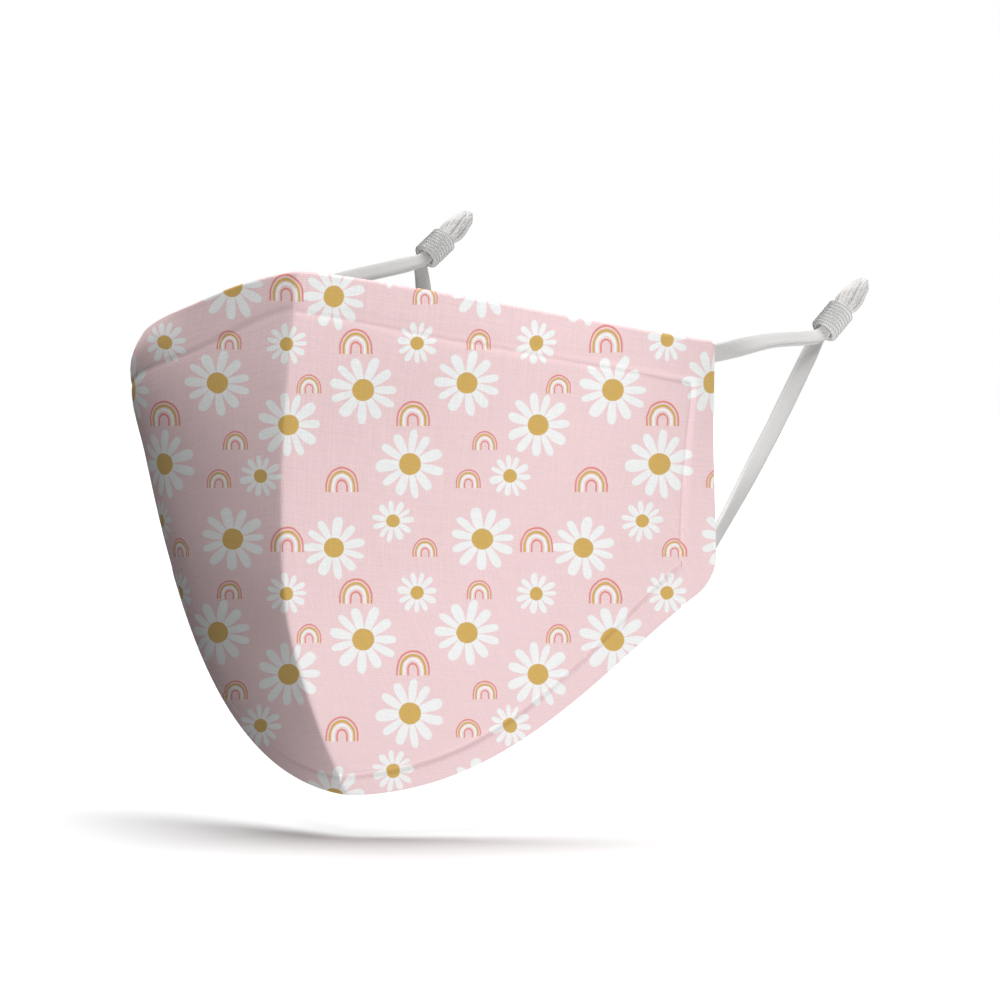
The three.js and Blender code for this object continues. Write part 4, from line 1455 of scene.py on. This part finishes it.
class MASK_OT_stage(bpy.types.Operator):
    """Make the floor, the lights, the surroundings and the camera"""

    bl_idname = "mask.stage"
    bl_label = "Stage"

    def execute(self, context):
        settings = context.scene.mask_stage
        make_floor(settings)
        make_air()
        make_lamp("front_light", settings.front_strength, *FRONT_LAMP)
        make_lamp("top_light", settings.top_strength, *TOP_LAMP)
        make_lamp("back_light", settings.back_strength, *BACK_LAMP)
        make_lamp("low_light", settings.low_strength, *LOW_LAMP)
        make_camera(context.scene)
        context.scene.view_settings.view_transform = "Standard"
        return {"FINISHED"}


def make_floor(settings):
    """A wide floor, which lets the low light through."""
    bpy.ops.object.select_all(action="DESELECT")
    bpy.ops.mesh.primitive_plane_add(size=FLOOR_SIZE, location=(0, 0, settings.floor_height))
    floor = bpy.context.active_object
    floor.name = "floor"
    floor.data.materials.append(floor_material())
    floor.visible_shadow = False


def make_air():
    """White where the camera looks past the floor, and no light from round about."""
    world = bpy.data.worlds.new("studio_air")
    bpy.context.scene.world = world
    world.use_nodes = True
    tree = Tree(world.node_tree)
    background = world.node_tree.nodes["Background"]
    background.inputs["Color"].default_value = (1, 1, 1, 1)
    tree.put(background.inputs["Strength"], clear_sight(tree))


def make_lamp(name, strength, turn, lift, angle):
    """A broad soft lamp far away."""
    lamp = bpy.data.lights.new(name, "SUN")
    lamp.energy = strength
    lamp.angle = math.radians(angle)
    piece = bpy.data.objects.new(name, lamp)
    bpy.context.scene.collection.objects.link(piece)
    turn, lift = math.radians(turn), math.radians(lift)
    way = Vector((math.sin(turn) * math.cos(lift), -math.cos(turn) * math.cos(lift), math.sin(lift)))
    piece.rotation_euler = (-way).to_track_quat("-Z", "Y").to_euler()
    piece.location = way * LAMP_DISTANCE


def make_camera(scene):
    right, up, forward = view_axes()
    camera = bpy.data.objects.new("camera", bpy.data.cameras.new("camera"))
    camera.data.sensor_width = SENSOR_MM
    camera.data.lens = LENS_MM
    camera.data.clip_start, camera.data.clip_end = CLIP_DISTANCES
    place = -(SEAM_TOP_RIGHT * right + SEAM_TOP_UP * up + VIEW_DISTANCE * forward)
    turned = Matrix([right, up, -forward]).transposed().to_4x4()
    camera.matrix_world = Matrix.Translation(Vector(place)) @ turned
    scene.collection.objects.link(camera)
    scene.camera = camera


def material(name):
    """One of the shared cloth materials, made when it is first asked for."""
    if name not in bpy.data.materials:
        make = {"plain_lining": lining_material, "daisy_print_cotton": printed_cloth_material}[name]
        make(bpy.context.scene.mask_cloth)
    return bpy.data.materials[name]


STEPS = (MASK_OT_side_casings, MASK_OT_hems, MASK_OT_front_panels, MASK_OT_ear_loops, MASK_OT_adjusters,
         MASK_OT_stage)


class MASK_PT_panel(bpy.types.Panel):
    """The mask's settings and the steps that make it"""

    bl_label = "Face Mask"
    bl_idname = "MASK_PT_panel"
    bl_space_type = "VIEW_3D"
    bl_region_type = "UI"
    bl_category = "Face Mask"

    def draw(self, context):
        for group in (context.scene.mask_cloth, context.scene.mask_loops, context.scene.mask_adjusters,
                      context.scene.mask_stage):
            box = self.layout.box()
            for name in group.__annotations__:
                box.prop(group, name)
        for step in STEPS:
            self.layout.operator(step.bl_idname)


SETTINGS = {
    "mask_cloth": ClothSettings,
    "mask_loops": LoopSettings,
    "mask_adjusters": AdjusterSettings,
    "mask_stage": StageSettings,
}


def register():
    for group in SETTINGS.values():
        bpy.utils.register_class(group)
    for step in (*STEPS, MASK_PT_panel):
        bpy.utils.register_class(step)
    for name, group in SETTINGS.items():
        setattr(bpy.types.Scene, name, PointerProperty(type=group))


def unregister():
    for name in SETTINGS:
        delattr(bpy.types.Scene, name)
    for step in (*STEPS, MASK_PT_panel):
        bpy.utils.unregister_class(step)
    for group in SETTINGS.values():
        bpy.utils.unregister_class(group)


def main():
    register()
    bpy.ops.mask.side_casings()
    bpy.ops.mask.hems()
    bpy.ops.mask.front_panels()
    bpy.ops.mask.ear_loops()
    bpy.ops.mask.adjusters()
    bpy.ops.mask.stage()


if __name__ == "__main__":
    main()
